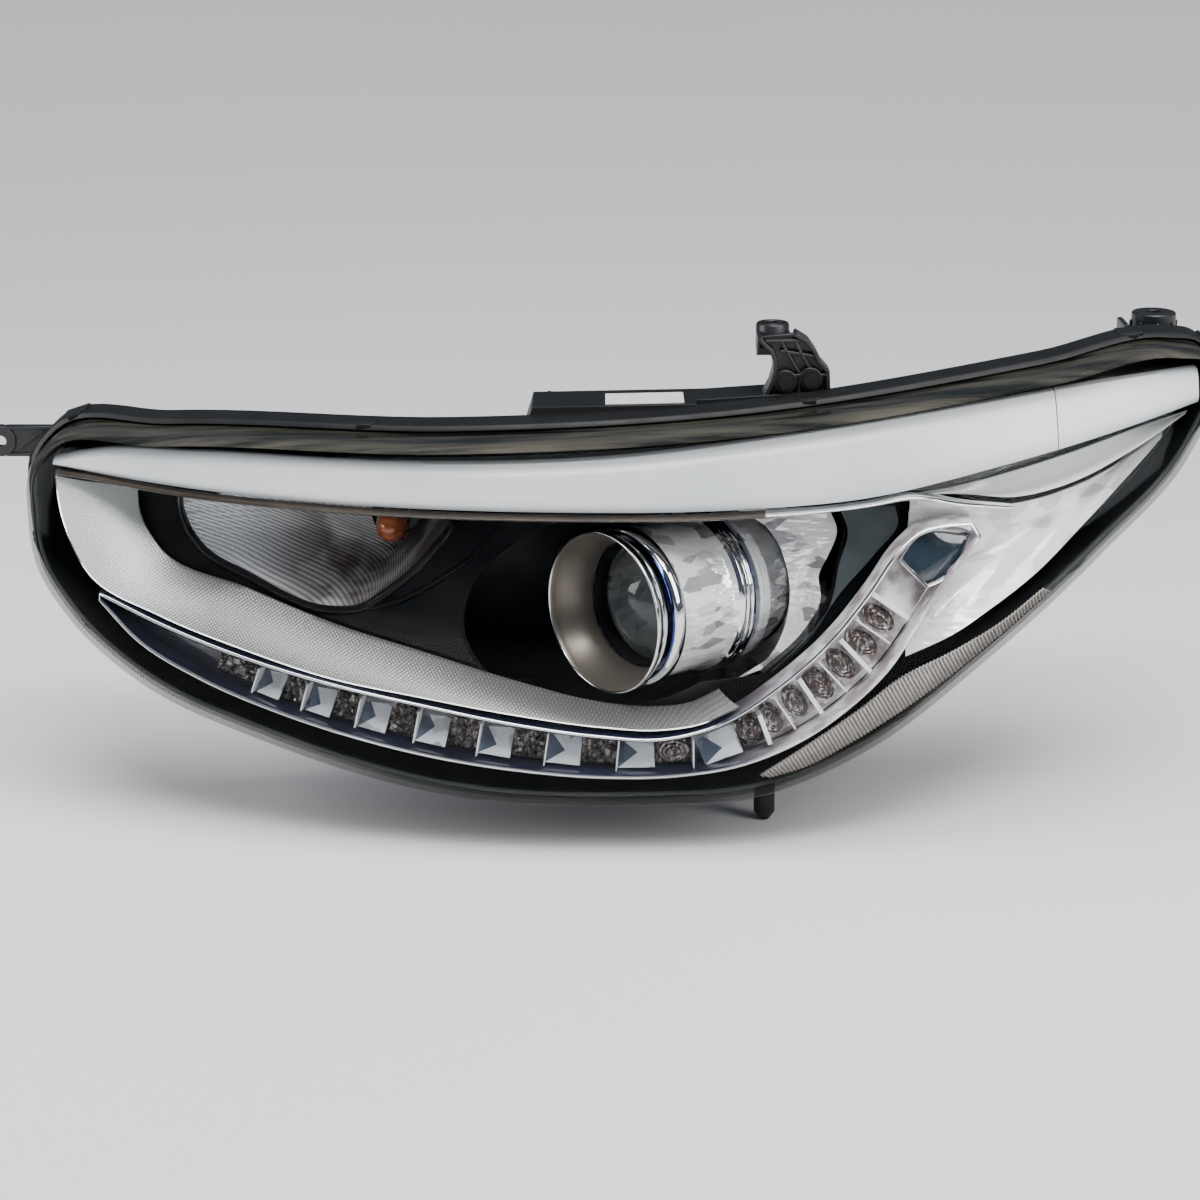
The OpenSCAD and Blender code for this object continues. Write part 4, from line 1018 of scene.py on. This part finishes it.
def make_turn_reflector():
    """The indicator's bowl, fluted at its grille end, a small clear prism and the amber bulb."""
    hub, middle = Vector(TURN_AT), Vector((-150, 22))
    rows = 26
    front, back = [], []
    for j in range(rows + 1):
        f = j / rows
        g = 1 - (1 - f) ** 2
        ring, outer = [], []
        for m in TURN_MOUTH:
            outward = (m - middle).normalized()
            hole = hub + outward * 14
            p = m.lerp(hole, f)
            start = face(m.x, m.y) + 50
            t = start + (88 - start) * g
            flute = ease((-178 - p.x) / 18) * ease((p.y + 4) / 12)
            t += 1.7 * flute * abs(((p.y + 0.1 * p.x) / 2.9) % 1.0 - 0.5) * 2
            ring.append(Vector((p.x, t, p.y)))
            q = p + outward * 2 * (1 - f * 0.5)
            outer.append(Vector((q.x, t + 1.8, q.y)))
        front.append(ring)
        back.append(outer)
    make("turn_bowl", Shape().skin(front + back[::-1]), [FLUTED], nodes=["turn_reflector"], smooth=50)
    prism = Shape()
    edges = (([(-141, 39), (-121, 25), (-108, 44)], 62), ([(-119, 45), (-112, 32), (-100, 42)], 60))
    for line, deep in edges:
        start = face(-120, 30) + deep
        prism.wall(line, 1.3, start, start + 2.4)
    make("turn_prism", prism, [CELL_CLEAR], bevel=0.3)
    bulb = Shape()
    profile = [
        (0, 48.6), (3.4, 49.4), (6.4, 51.8), (8.5, 55), (9.2, 58.5), (9.5, 72), (9.2, 79), (7.5, 82),
        (7.5, 106), (0, 106),
    ]
    bulb.lathe(profile, 64, 0, Matrix.Translation((TURN_AT[0], 0, TURN_AT[1])), bands((7, len(profile), 1)))
    make("turn_bulb_glass", bulb, [AMBER, STEEL], body="turn_twist", nodes=["turn_bulb"])


# ---- The daytime running light ----

CELLS = 12
RISE = 8


def cell_at(i):
    """Place of a cell along the strip: longer and longer up to the rise, then even."""
    grown = 0.0499 * i + 0.00211 * i * i
    return 0.1475 + (grown if i <= RISE else 0.5341 + 0.0628 * (i - RISE))


def strip_mid(f):
    return (STRIP_TOP.at(f) + STRIP_LOW.at(f)) / 2


def cell_frame(i, depth):
    """Frame of a cell, its X along the strip, and the cell's half length and half height."""
    here = cell_at(i)
    ahead, back = strip_mid(here + 0.02), strip_mid(here - 0.02)
    roll = -atan2(ahead.y - back.y, ahead.x - back.x)
    length = (strip_mid((here + cell_at(i + 1)) / 2) - strip_mid((here + cell_at(i - 1)) / 2)).length / 2
    height = (STRIP_TOP.at(here) - STRIP_LOW.at(here)).length / 2
    return face_frame(strip_mid(here), depth, roll), length, height


def make_strip():
    """The frame, its clear cover, the sheet behind and the cells between them."""
    outline = STRIP_TOP.walk(90) + [Vector((204, 40))] + STRIP_LOW.walk(90)[::-1]
    section = [
        (-1.4, 15), (-1.2, 14), (-0.6, 13.6), (0, 13.5), (0.6, 14), (1.1, 14.8), (1.2, 16), (1.2, 34),
        (-1.4, 34),
    ]
    # Only the crest is chrome; the rest of the frame takes the painted reflection, navy along the flat run
    # and pale up the rise.
    hoop = Shape().skin(hoop_rings(outline, section), row_paint=lambda j: 0 if j in (1, 2) else 1)
    make("strip_frame", hoop, [CHROME, STRIP_PAINTED_REFLECTION], nodes=["drl_frame"], smooth=50)
    make("strip_optics", strip_sheet(17, 2.4, 6, 0.09), [CELL_CLEAR], nodes=["drl_lens"], bevel=0.2)
    # The reflector sheet carries the same painted reflection.
    make("strip_reflector", strip_sheet(31.8, 1.6, 8, 0.07), [STRIP_PAINTED_REFLECTION], nodes=["drl_reflector"])
    make_cells()


def strip_sheet(depth, thick, m, margin):
    """A plate inside the strip's frame, drawn in from its edges by a part of its width."""
    rings = strip_rings(STRIP_TOP, STRIP_LOW, lambda u, v: depth, thick, 100, m, 0.03, 0.97)
    return Shape().skin([[drawn_in(r, k, margin) for k in range(len(r))] for r in rings], "flat")


def drawn_in(ring, k, margin):
    first, last = ring[0], ring[len(ring) // 2 - 1]
    p = ring[k]
    across = (p - first).dot(last - first) / max((last - first).length_squared, 1e-9)
    across = max(0.0, min(1.0, across))
    return p + (last - first) * (margin * (1 - 2 * across))


def make_cells():
    """Tilted mirrors and crinkled pockets along the flat run, oval swirls up the rise."""
    mirrors, pockets, blocks, ovals, dividers = Shape(), Shape(), Shape(), Shape(), Shape()
    for i in range(CELLS):
        place, length, height = cell_frame(i, 0)
        rise = i > RISE
        low, top = -height * 0.78, height * (0.66 if rise else 0.5)
        if i == 0:
            crinkle(pockets, place, 1 - length, length - 1, (low * 0.8, top * 0.7), i)
        elif not rise:
            x0, x1 = 1 - length, length * (0.0 if i < RISE else 0.2)
            wedge_mirror(mirrors, place, x0, x1, low, top, i)
            crinkle(pockets, place, x1 + 0.4, length - 0.6, (low, top), i)
            if i >= RISE - 1:
                spin = 0.5 * (x1 + length)
                swirl(ovals, place, spin, (low + top) / 2, 0.42 * (length - x1), (top - low) * 0.42, i)
        else:
            crinkle(blocks, place, 1.2 - length, length - 1.2, (low, top), i, 30)
            for k in (-0.48, 0.48):
                swirl(ovals, place, k * length, (low + top) / 2, length * 0.36, (top - low) * 0.42, i)
        wide = 2.6 if rise or i == RISE else 0.8
        dividers.box((length - wide / 2, 20.5, low - 0.6), (length + wide / 2, 32, top + 0.6), 0, place)
        if rise:
            dividers.box((-0.5, 21.5, low), (0.5, 32, top), 0, place)
    make("strip_mirrors", mirrors, [MIRROR, MIRROR_PAINTED_SHADE], bevel=0.15)
    make("strip_pockets", pockets, [OPTIC], smooth=18)
    make("strip_blocks", blocks, [ROSE], smooth=18)
    make("strip_ovals", ovals, [SWIRL], smooth=40)
    make("strip_dividers", dividers, [WHITE], bevel=0.25)


def wedge_mirror(shape, place, x0, x1, low, top, seed):
    """A mirror that leans back as it rises, with a fold running up from its lower corner."""
    lean = 0.62 * (top - low)
    fold = 0.42 + 0.1 * sin(seed * 2.1)
    front = [(x0, 24, low), (x1, 23, low), (x1, 23 + lean, top), (x0, 24.6 + lean, top)]
    middle = Vector((x0 + (x1 - x0) * 0.55, 21.6 + lean * fold, low + (top - low) * fold))
    front = [Vector(p) for p in front]
    back = [p + Vector((0, 1.6, 0)) for p in front]
    faces = [[0, 1, 8], [1, 2, 8], [2, 3, 8], [3, 0, 8], [7, 6, 5, 4]]
    faces += [[k, k + 4, (k + 1) % 4 + 4, (k + 1) % 4] for k in range(4)]
    # The left facet and the back face take the dark copy of the mirror: painted shade.
    paints = [0, 0, 0, 1, 1, 0, 0, 0, 0]
    shape.add(front + back + [middle], faces, paints, place)


def crinkle(shape, place, x0, x1, heights, seed, base=28.5):
    """A block of clear plastic whose front is broken into small facets."""
    low, top = heights
    n, m = 12, 12
    rings = []
    for i in range(n + 1):
        ring = []
        for j in range(m + 1):
            x, z = x0 + (x1 - x0) * i / n, low + (top - low) * j / m
            jag = noise.noise(Vector((x * 0.5 + seed * 7.3, z * 0.5, seed * 1.7)))
            jag += 0.5 * noise.noise(Vector((x * 1.1 + z * 0.9, z * 0.35 + seed, 3.1)))
            inner = 0 < i < n and 0 < j < m
            ring.append(Vector((x, base + (3.2 * jag if inner else 0.8), z)))
        ring += [Vector((ring[m].x, base + 4, top)), Vector((ring[0].x, base + 4, low))]
        rings.append(ring)
    shape.skin(rings, "flat", place=place)


def swirl(shape, place, x, z, wide, high, seed):
    """An oval lens with rings like ripples."""
    steps = 12
    ripples = []
    for k in range(steps + 1):
        ripples.append((k / steps, 25 + 2.6 * (k / steps) ** 2 + 0.5 * sin(k * 2.1 + seed)))
    middle = Matrix.Translation((x, 0, z)) @ Matrix.Diagonal((wide, 1, high, 1))
    shape.lathe(ripples + [(1, 30.4), (0, 30.4)], 36, place=place @ middle)


def make_window():
    """The dark window at the strip's end, and its bright rim."""
    pane = sheet(WINDOW_TOP, WINDOW_LOW, lambda u, v: 20.5 - 1.5 * sin(pi * v), 2, 24, 10)
    make("end_pane", pane, [PANE], nodes=["end_window"], bevel=0.3)
    rim = WINDOW_TOP.walk(16) + WINDOW_LOW.walk(16)[::-1]
    section = [(-1.6, 17.4), (-0.8, 16.6), (0.2, 17.4), (0.4, 21.5), (-1.6, 21.5)]
    make("end_pane_rim", Shape().skin(hoop_rings(rim, section)), [CHROME], smooth=50)


# ---- Projector ----


def make_projector():
    r = TRUMPET_R
    horn = [
        (r - 1.6, 0.5), (r - 1.2, 0.1), (r - 0.6, 0), (r - 0.1, 0.3), (r, 0.9), (r - 0.5, 3), (r - 1.4, 6),
        (r - 2.9, 9.4), (r - 4.6, 13), (r - 6.1, 16.6), (r - 7.4, 20), (r - 8.4, 25), (r - 9.8, 25),
        (r - 8.9, 20), (r - 7.7, 16.4), (r - 6, 12.6), (r - 4.3, 8.9), (r - 2.8, 5.4), (r - 2, 2.6),
    ]
    # Rows 7 to 10, deep in the horn, take the dark blue painted shade.
    shape = Shape().lathe(horn, 160, row_paint=bands((0, 4, 1), (5, 6, 2), (7, 10, 3)))
    make("trumpet_horn", shape, [WARM, EDGE, CHROME, BLUE_PAINTED_SHADE], PROJECTOR, "projector", ["trumpet"], smooth=50)
    b = BARREL_R
    barrel = [
        (42.6, 14), (43, 13.5), (44.6, 13.5), (45.6, 13.9), (46.4, 15), (46.4, 20), (46, 20.9), (45, 21.5),
        (44, 22.3), (43.8, 23), (43.8, 40), (43.8, 58), (44.4, 60), (46, 62), (b - 1, 63), (b - 0.2, 63.6),
        (b, 64.4), (b - 0.2, 65.6), (b - 1.4, 66.6), (b - 0.2, 67.4), (b, 68.3), (b - 0.2, 69.2),
        (b - 1.4, 70), (b - 0.2, 70.8), (b, 71.7), (b - 0.2, 72.8), (b - 1.4, 73.6), (b - 2.4, 74),
        (42, 74), (42, 24), (42.6, 20),
    ]
    # Rows 24 to 27, the rear ring, take the dark blue painted shade.
    shape = Shape().lathe(barrel, 160, row_paint=bands((9, 12, 1), (24, 27, 2)))
    make("barrel_shell", shape, [CHROME, WAVY, BLUE_PAINTED_SHADE], PROJECTOR, "projector", ["barrel"], smooth=40)
    lens = [(0, 36.5), (0, 17)]
    steps = 30
    lens += [((GLASS_R - 1.6) * k / steps, 34 - 17 * (1 - (k / steps) ** 2.2)) for k in range(1, steps + 1)]
    lens += [(GLASS_R, 34.2), (GLASS_R, 36.5)]
    dome = Shape().lathe(lens, 128)
    make("projector_glass", dome, [GLASS], PROJECTOR, "projector", ["projector_lens"], smooth=40)
    g = GLASS_R
    ring = [
        (g - 1.4, 30.6), (g - 0.8, 28.6), (g + 0.2, 26.8), (g + 0.8, 26.6), (36.6, 26.6), (37, 27),
        (37, 33.6), (g - 1.4, 33.6),
    ]
    make("glass_ring", Shape().lathe(ring, 128), [GLOSS_BLACK], PROJECTOR, "projector", ["lens_ring"])


def make_panel():
    """The bright wavy panel beside and below the barrel."""
    def depth(u, v):
        base = 56.5 - 5.5 * v * v
        return base + 1.5 * sin(u * 11 + v * 5) * sin(pi * v)
    panel = sheet(PANEL_INNER, PANEL_OUTER, depth, 2, 60, 24)
    make("barrel_panel", panel, [WAVY], nodes=["projector_surround"], smooth=50)


# ---- Brackets and service parts ----


def make_upper_bracket():
    """The curved fin with its pockets, the arm and the ring that takes the bolt."""
    shape = Shape()
    left = [
        (88, 95), (93, 101), (96.5, 108), (98.2, 115), (98, 121), (95.5, 126.5), (91, 130.5), (89, 133.4),
    ]
    right = [(128, 104), (127.5, 114.5), (123, 119.5), (120, 125.5), (116, 131), (109, 135.4)]
    outline = left + right[::-1] + [(120, 92)]
    shape.prism(outline, 67, 71)
    shape.wall(left, 2.4, 62, 78)
    shape.wall(right, 2.4, 62, 78)
    across = ([(98, 112), (127, 112.5)], [(101, 126), (121, 123)], [(92, 131.5), (114, 132)])
    upward = (
        [(112, 113), (104, 126), (101, 132)],
        [(119.5, 113), (112.5, 124.5), (109, 132)],
        [(111.6, 98), (111.6, 113)],
    )
    for line in across + upward:
        shape.wall(line, 1.8, 62.6, 77)
    for p in ((104, 108.8), (118, 110.2)):
        shape.rod(6.6, 62, 70, 40, place=Matrix.Translation((p[0], 0, p[1])))
    shape.box((80, 64, 88), (132, 84, 93))
    shape.box((88.5, 74, 122), (107.5, 90, 126))
    for x in (88.5, 105.7):
        shape.box((x, 74, 122), (x + 1.8, 88, 133))
    upright = Matrix.Translation((98, 92, 122)) @ Matrix.Rotation(radians(90), 4, "X")
    ring = [
        (4.3, 0), (9.5, 0), (9.5, 13.6), (8.6, 15), (7.2, 15), (6.8, 13.6), (5.6, 13.6), (5.2, 15),
        (4.3, 15),
    ]
    shape.lathe(ring, 64, place=upright)
    make("upper_bracket_fin", shape, [RIB_BLACK], nodes=["upper_bracket"], bevel=0.45)


def make_side_lugs():
    """The bolt lug at the fender end and the tab at the grille end."""
    outer = Shape()
    outer.box((302, 130, 106), (346, 168, 109))
    for x in (303, 314, 325, 336):
        outer.box((x, 130, 109), (x + 2, 160, 112))
    outer.box((302, 130, 109), (346, 132.4, 114))
    upright = Matrix.Translation((328, 160, 108)) @ Matrix.Rotation(radians(90), 4, "X")
    outer.lathe([(4.3, 0), (13, 0), (13, 21), (12.2, 22), (4.3, 22)], 64, place=upright)
    for turn in range(8):
        spin = upright @ Matrix.Rotation(radians(45 * turn), 4, "Y")
        outer.box((12.6, 0, -0.9), (14.2, 17, 0.9), place=spin)
    outer.box((306, 134, 110), (309, 158, 127))
    make("outer_lug", outer, [RIB_BLACK], nodes=["outer_bracket"], bevel=0.45)
    tab = Shape()
    flat = Matrix.Translation((-346, 97, 66))
    tab.lathe([(3.3, 0), (9, 0), (9, 6), (3.3, 6)], 48, place=flat)
    tab.prism([(-340, 58), (-325, 58), (-321.6, 66), (-314, 74), (-340, 74)], 98.4, 101.6)
    tab.wall([(-343, 58), (-325.4, 58)], 1.8, 97, 103)
    tab.wall([(-343, 74), (-315, 74)], 1.8, 97, 103)
    tab.wall([(-338, 60), (-321, 72)], 1.6, 97.4, 102.6)
    make("grille_lug", tab, [RIB_BLACK], nodes=["grille_tab"], bevel=0.4)


def make_rear_cap():
    """The round cover over the bulb, with a bar to grip and ribs round its edge."""
    place = at_rear(CAP_AT, 15.3)
    shape = Shape()
    dish = [
        (0, 0), (45.4, 0), (46, 0.6), (46, 3.4), (45.4, 4), (44.6, 4.4), (44, 9.2), (43.2, 10), (38, 10),
        (37, 9.2), (35.6, 7.6), (33, 7), (0, 7),
    ]
    shape.lathe(dish, 128, place=place)
    for i in range(18):
        turn = place @ Matrix.Rotation(2 * pi * i / 18, 4, "Y")
        shape.box((43.2, 3.8, -2.6), (46.4, 9.4, 2.6), place=turn)
    grip = [
        (-38, -5), (-30, -5.6), (0, -6.4), (30, -5.6), (38, -5), (38, 5), (30, 5.6), (0, 6.4), (-30, 5.6),
        (-38, 5),
    ]
    shape.prism(grip, 6.8, 19.6, place=place)
    for i in range(8):
        turn = place @ Matrix.Rotation(2 * pi * (i + 0.5) / 8, 4, "Y")
        shape.box((13, 6.8, -0.8), (34, 8.4, 0.8), place=turn)
    make("rear_cover", shape, [BLACK], body="cap_turn", nodes=["rear_cap"], bevel=0.5)


def dress_nodes():
    """Materials and softened edges for the CAD parts that show as they are."""
    finishes = {
        GREY: "light_bar_carrier turn_socket marker_socket driver_screws vent_caps",
        BLACK: "harness_connector leveller_motor locating_pin bracket_screws",
        RUBBER: "lens_seal rear_cap_seal turn_seal marker_seal",
        STEEL: "shutter solenoid_plunger bulb_clip horizontal_adjuster",
        WAVY: "aim_frame lens_holder projector_bowl",
        CAST: "drl_driver solenoid pivot_posts",
        IVORY: "leveller_pushrod vertical_adjuster",
        BOARD: "light_bar_board drl_board",
        LED: "light_bar_leds drl_leds",
        BULB: "low_beam_bulb marker_bulb",
        PAPER: "blank_label",
    }
    for paint, names in finishes.items():
        for name in names.split():
            node = NODES[name]
            for place in node.material_slots:
                place.material = paint
            add_bevel(node, 0.05 if name in ("blank_label", "bulb_clip") else 0.25, 2, 55)


# ---- Setting ----


def facing(at, toward, axis="Z"):
    """Frame at a place with one of its axes toward a direction."""
    return Matrix.Translation(at) @ toward.to_track_quat(axis, "Y").to_matrix().to_4x4()


def area(name, at, aim, size, power):
    """A softbox from a place in the lamp's frame, in metres, that points at another."""
    lamp = bpy.data.lights.new(name, "AREA")
    lamp.shape = "RECTANGLE"
    lamp.size, lamp.size_y = size
    lamp.energy = power
    turn = Matrix.Rotation(SWEEP, 4, "Z")
    start, end = turn @ Vector(at), turn @ Vector(aim)
    put(name, lamp).matrix_world = facing(start, end - start, "-Z")


def make_setting():
    low = min(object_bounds()[0][2], CAD_BOX[0][2]) - FLOOR_GAP
    mesh = bpy.data.meshes.new("floor")
    corners = [(x * FLOOR_HALF, y * FLOOR_HALF, low) for x, y in ((-1, -1), (1, -1), (1, 1), (-1, 1))]
    mesh.from_pydata(corners, [], [(0, 1, 2, 3)])
    p = Paint("pale_floor", (0.86, 0.86, 0.86), 0.7)
    p.set("Base Color", p.blend(p.ramp(p.noise(900, 2), 0, 1), (0.85, 0.85, 0.85), (0.88, 0.88, 0.88)))
    mesh.materials.append(p.material)
    floor = put("floor", mesh)
    sun = bpy.data.lights.new("sky_panel", "SUN")
    sun.energy = 2.5
    sun.angle = radians(50)
    toward = Matrix.Rotation(SWEEP, 4, "Z") @ Vector((0.1, -0.25, 1))
    put("sky_panel", sun).matrix_world = facing((0, 0, 0), toward)
    area("key_box", (1.2, -0.9, 0.7), (0.05, 0.1, -0.1), (0.8, 1.1), 22)
    area("fill_box", (-1.45, -0.2, 0.4), (-0.1, 0.1, -0.1), (0.7, 0.9), 13)
    area("front_strip", (0.2, -1.5, 2.0), (0, 0, -0.1), (1.8, 0.5), 40)
    world = bpy.data.worlds.new("studio")
    world.use_nodes = True
    shade = world.node_tree.nodes["Background"]
    shade.inputs["Color"].default_value = (0.5, 0.58, 0.75, 1)
    shade.inputs["Strength"].default_value = 0.16
    bpy.context.scene.world = world


def make_camera():
    """Looks square at the lamp's length, from a little above it."""
    eye = bpy.data.cameras.new("camera")
    eye.sensor_width = 36
    eye.lens = eye.sensor_width * CAMERA_AWAY / CAMERA_WIDE
    eye.clip_end = 60
    level, rise = cos(CAMERA_RISE), sin(CAMERA_RISE)
    back = Vector((sin(SWEEP) * level, -cos(SWEEP) * level, rise))
    camera = put("camera", eye)
    camera.matrix_world = facing(LAMP.translation + back * CAMERA_AWAY, back)
    bpy.context.scene.camera = camera


# ---- Build ----

make_housing()
make_lens()
make_bezel()
make_light_bar()
make_trim()
make_satin_fillet()
make_outer_reflector()
make_ribbed_patch()
make_turn_reflector()
make_strip()
make_window()
make_projector()
make_panel()
make_upper_bracket()
make_side_lugs()
make_rear_cap()
dress_nodes()
make_setting()
make_camera()
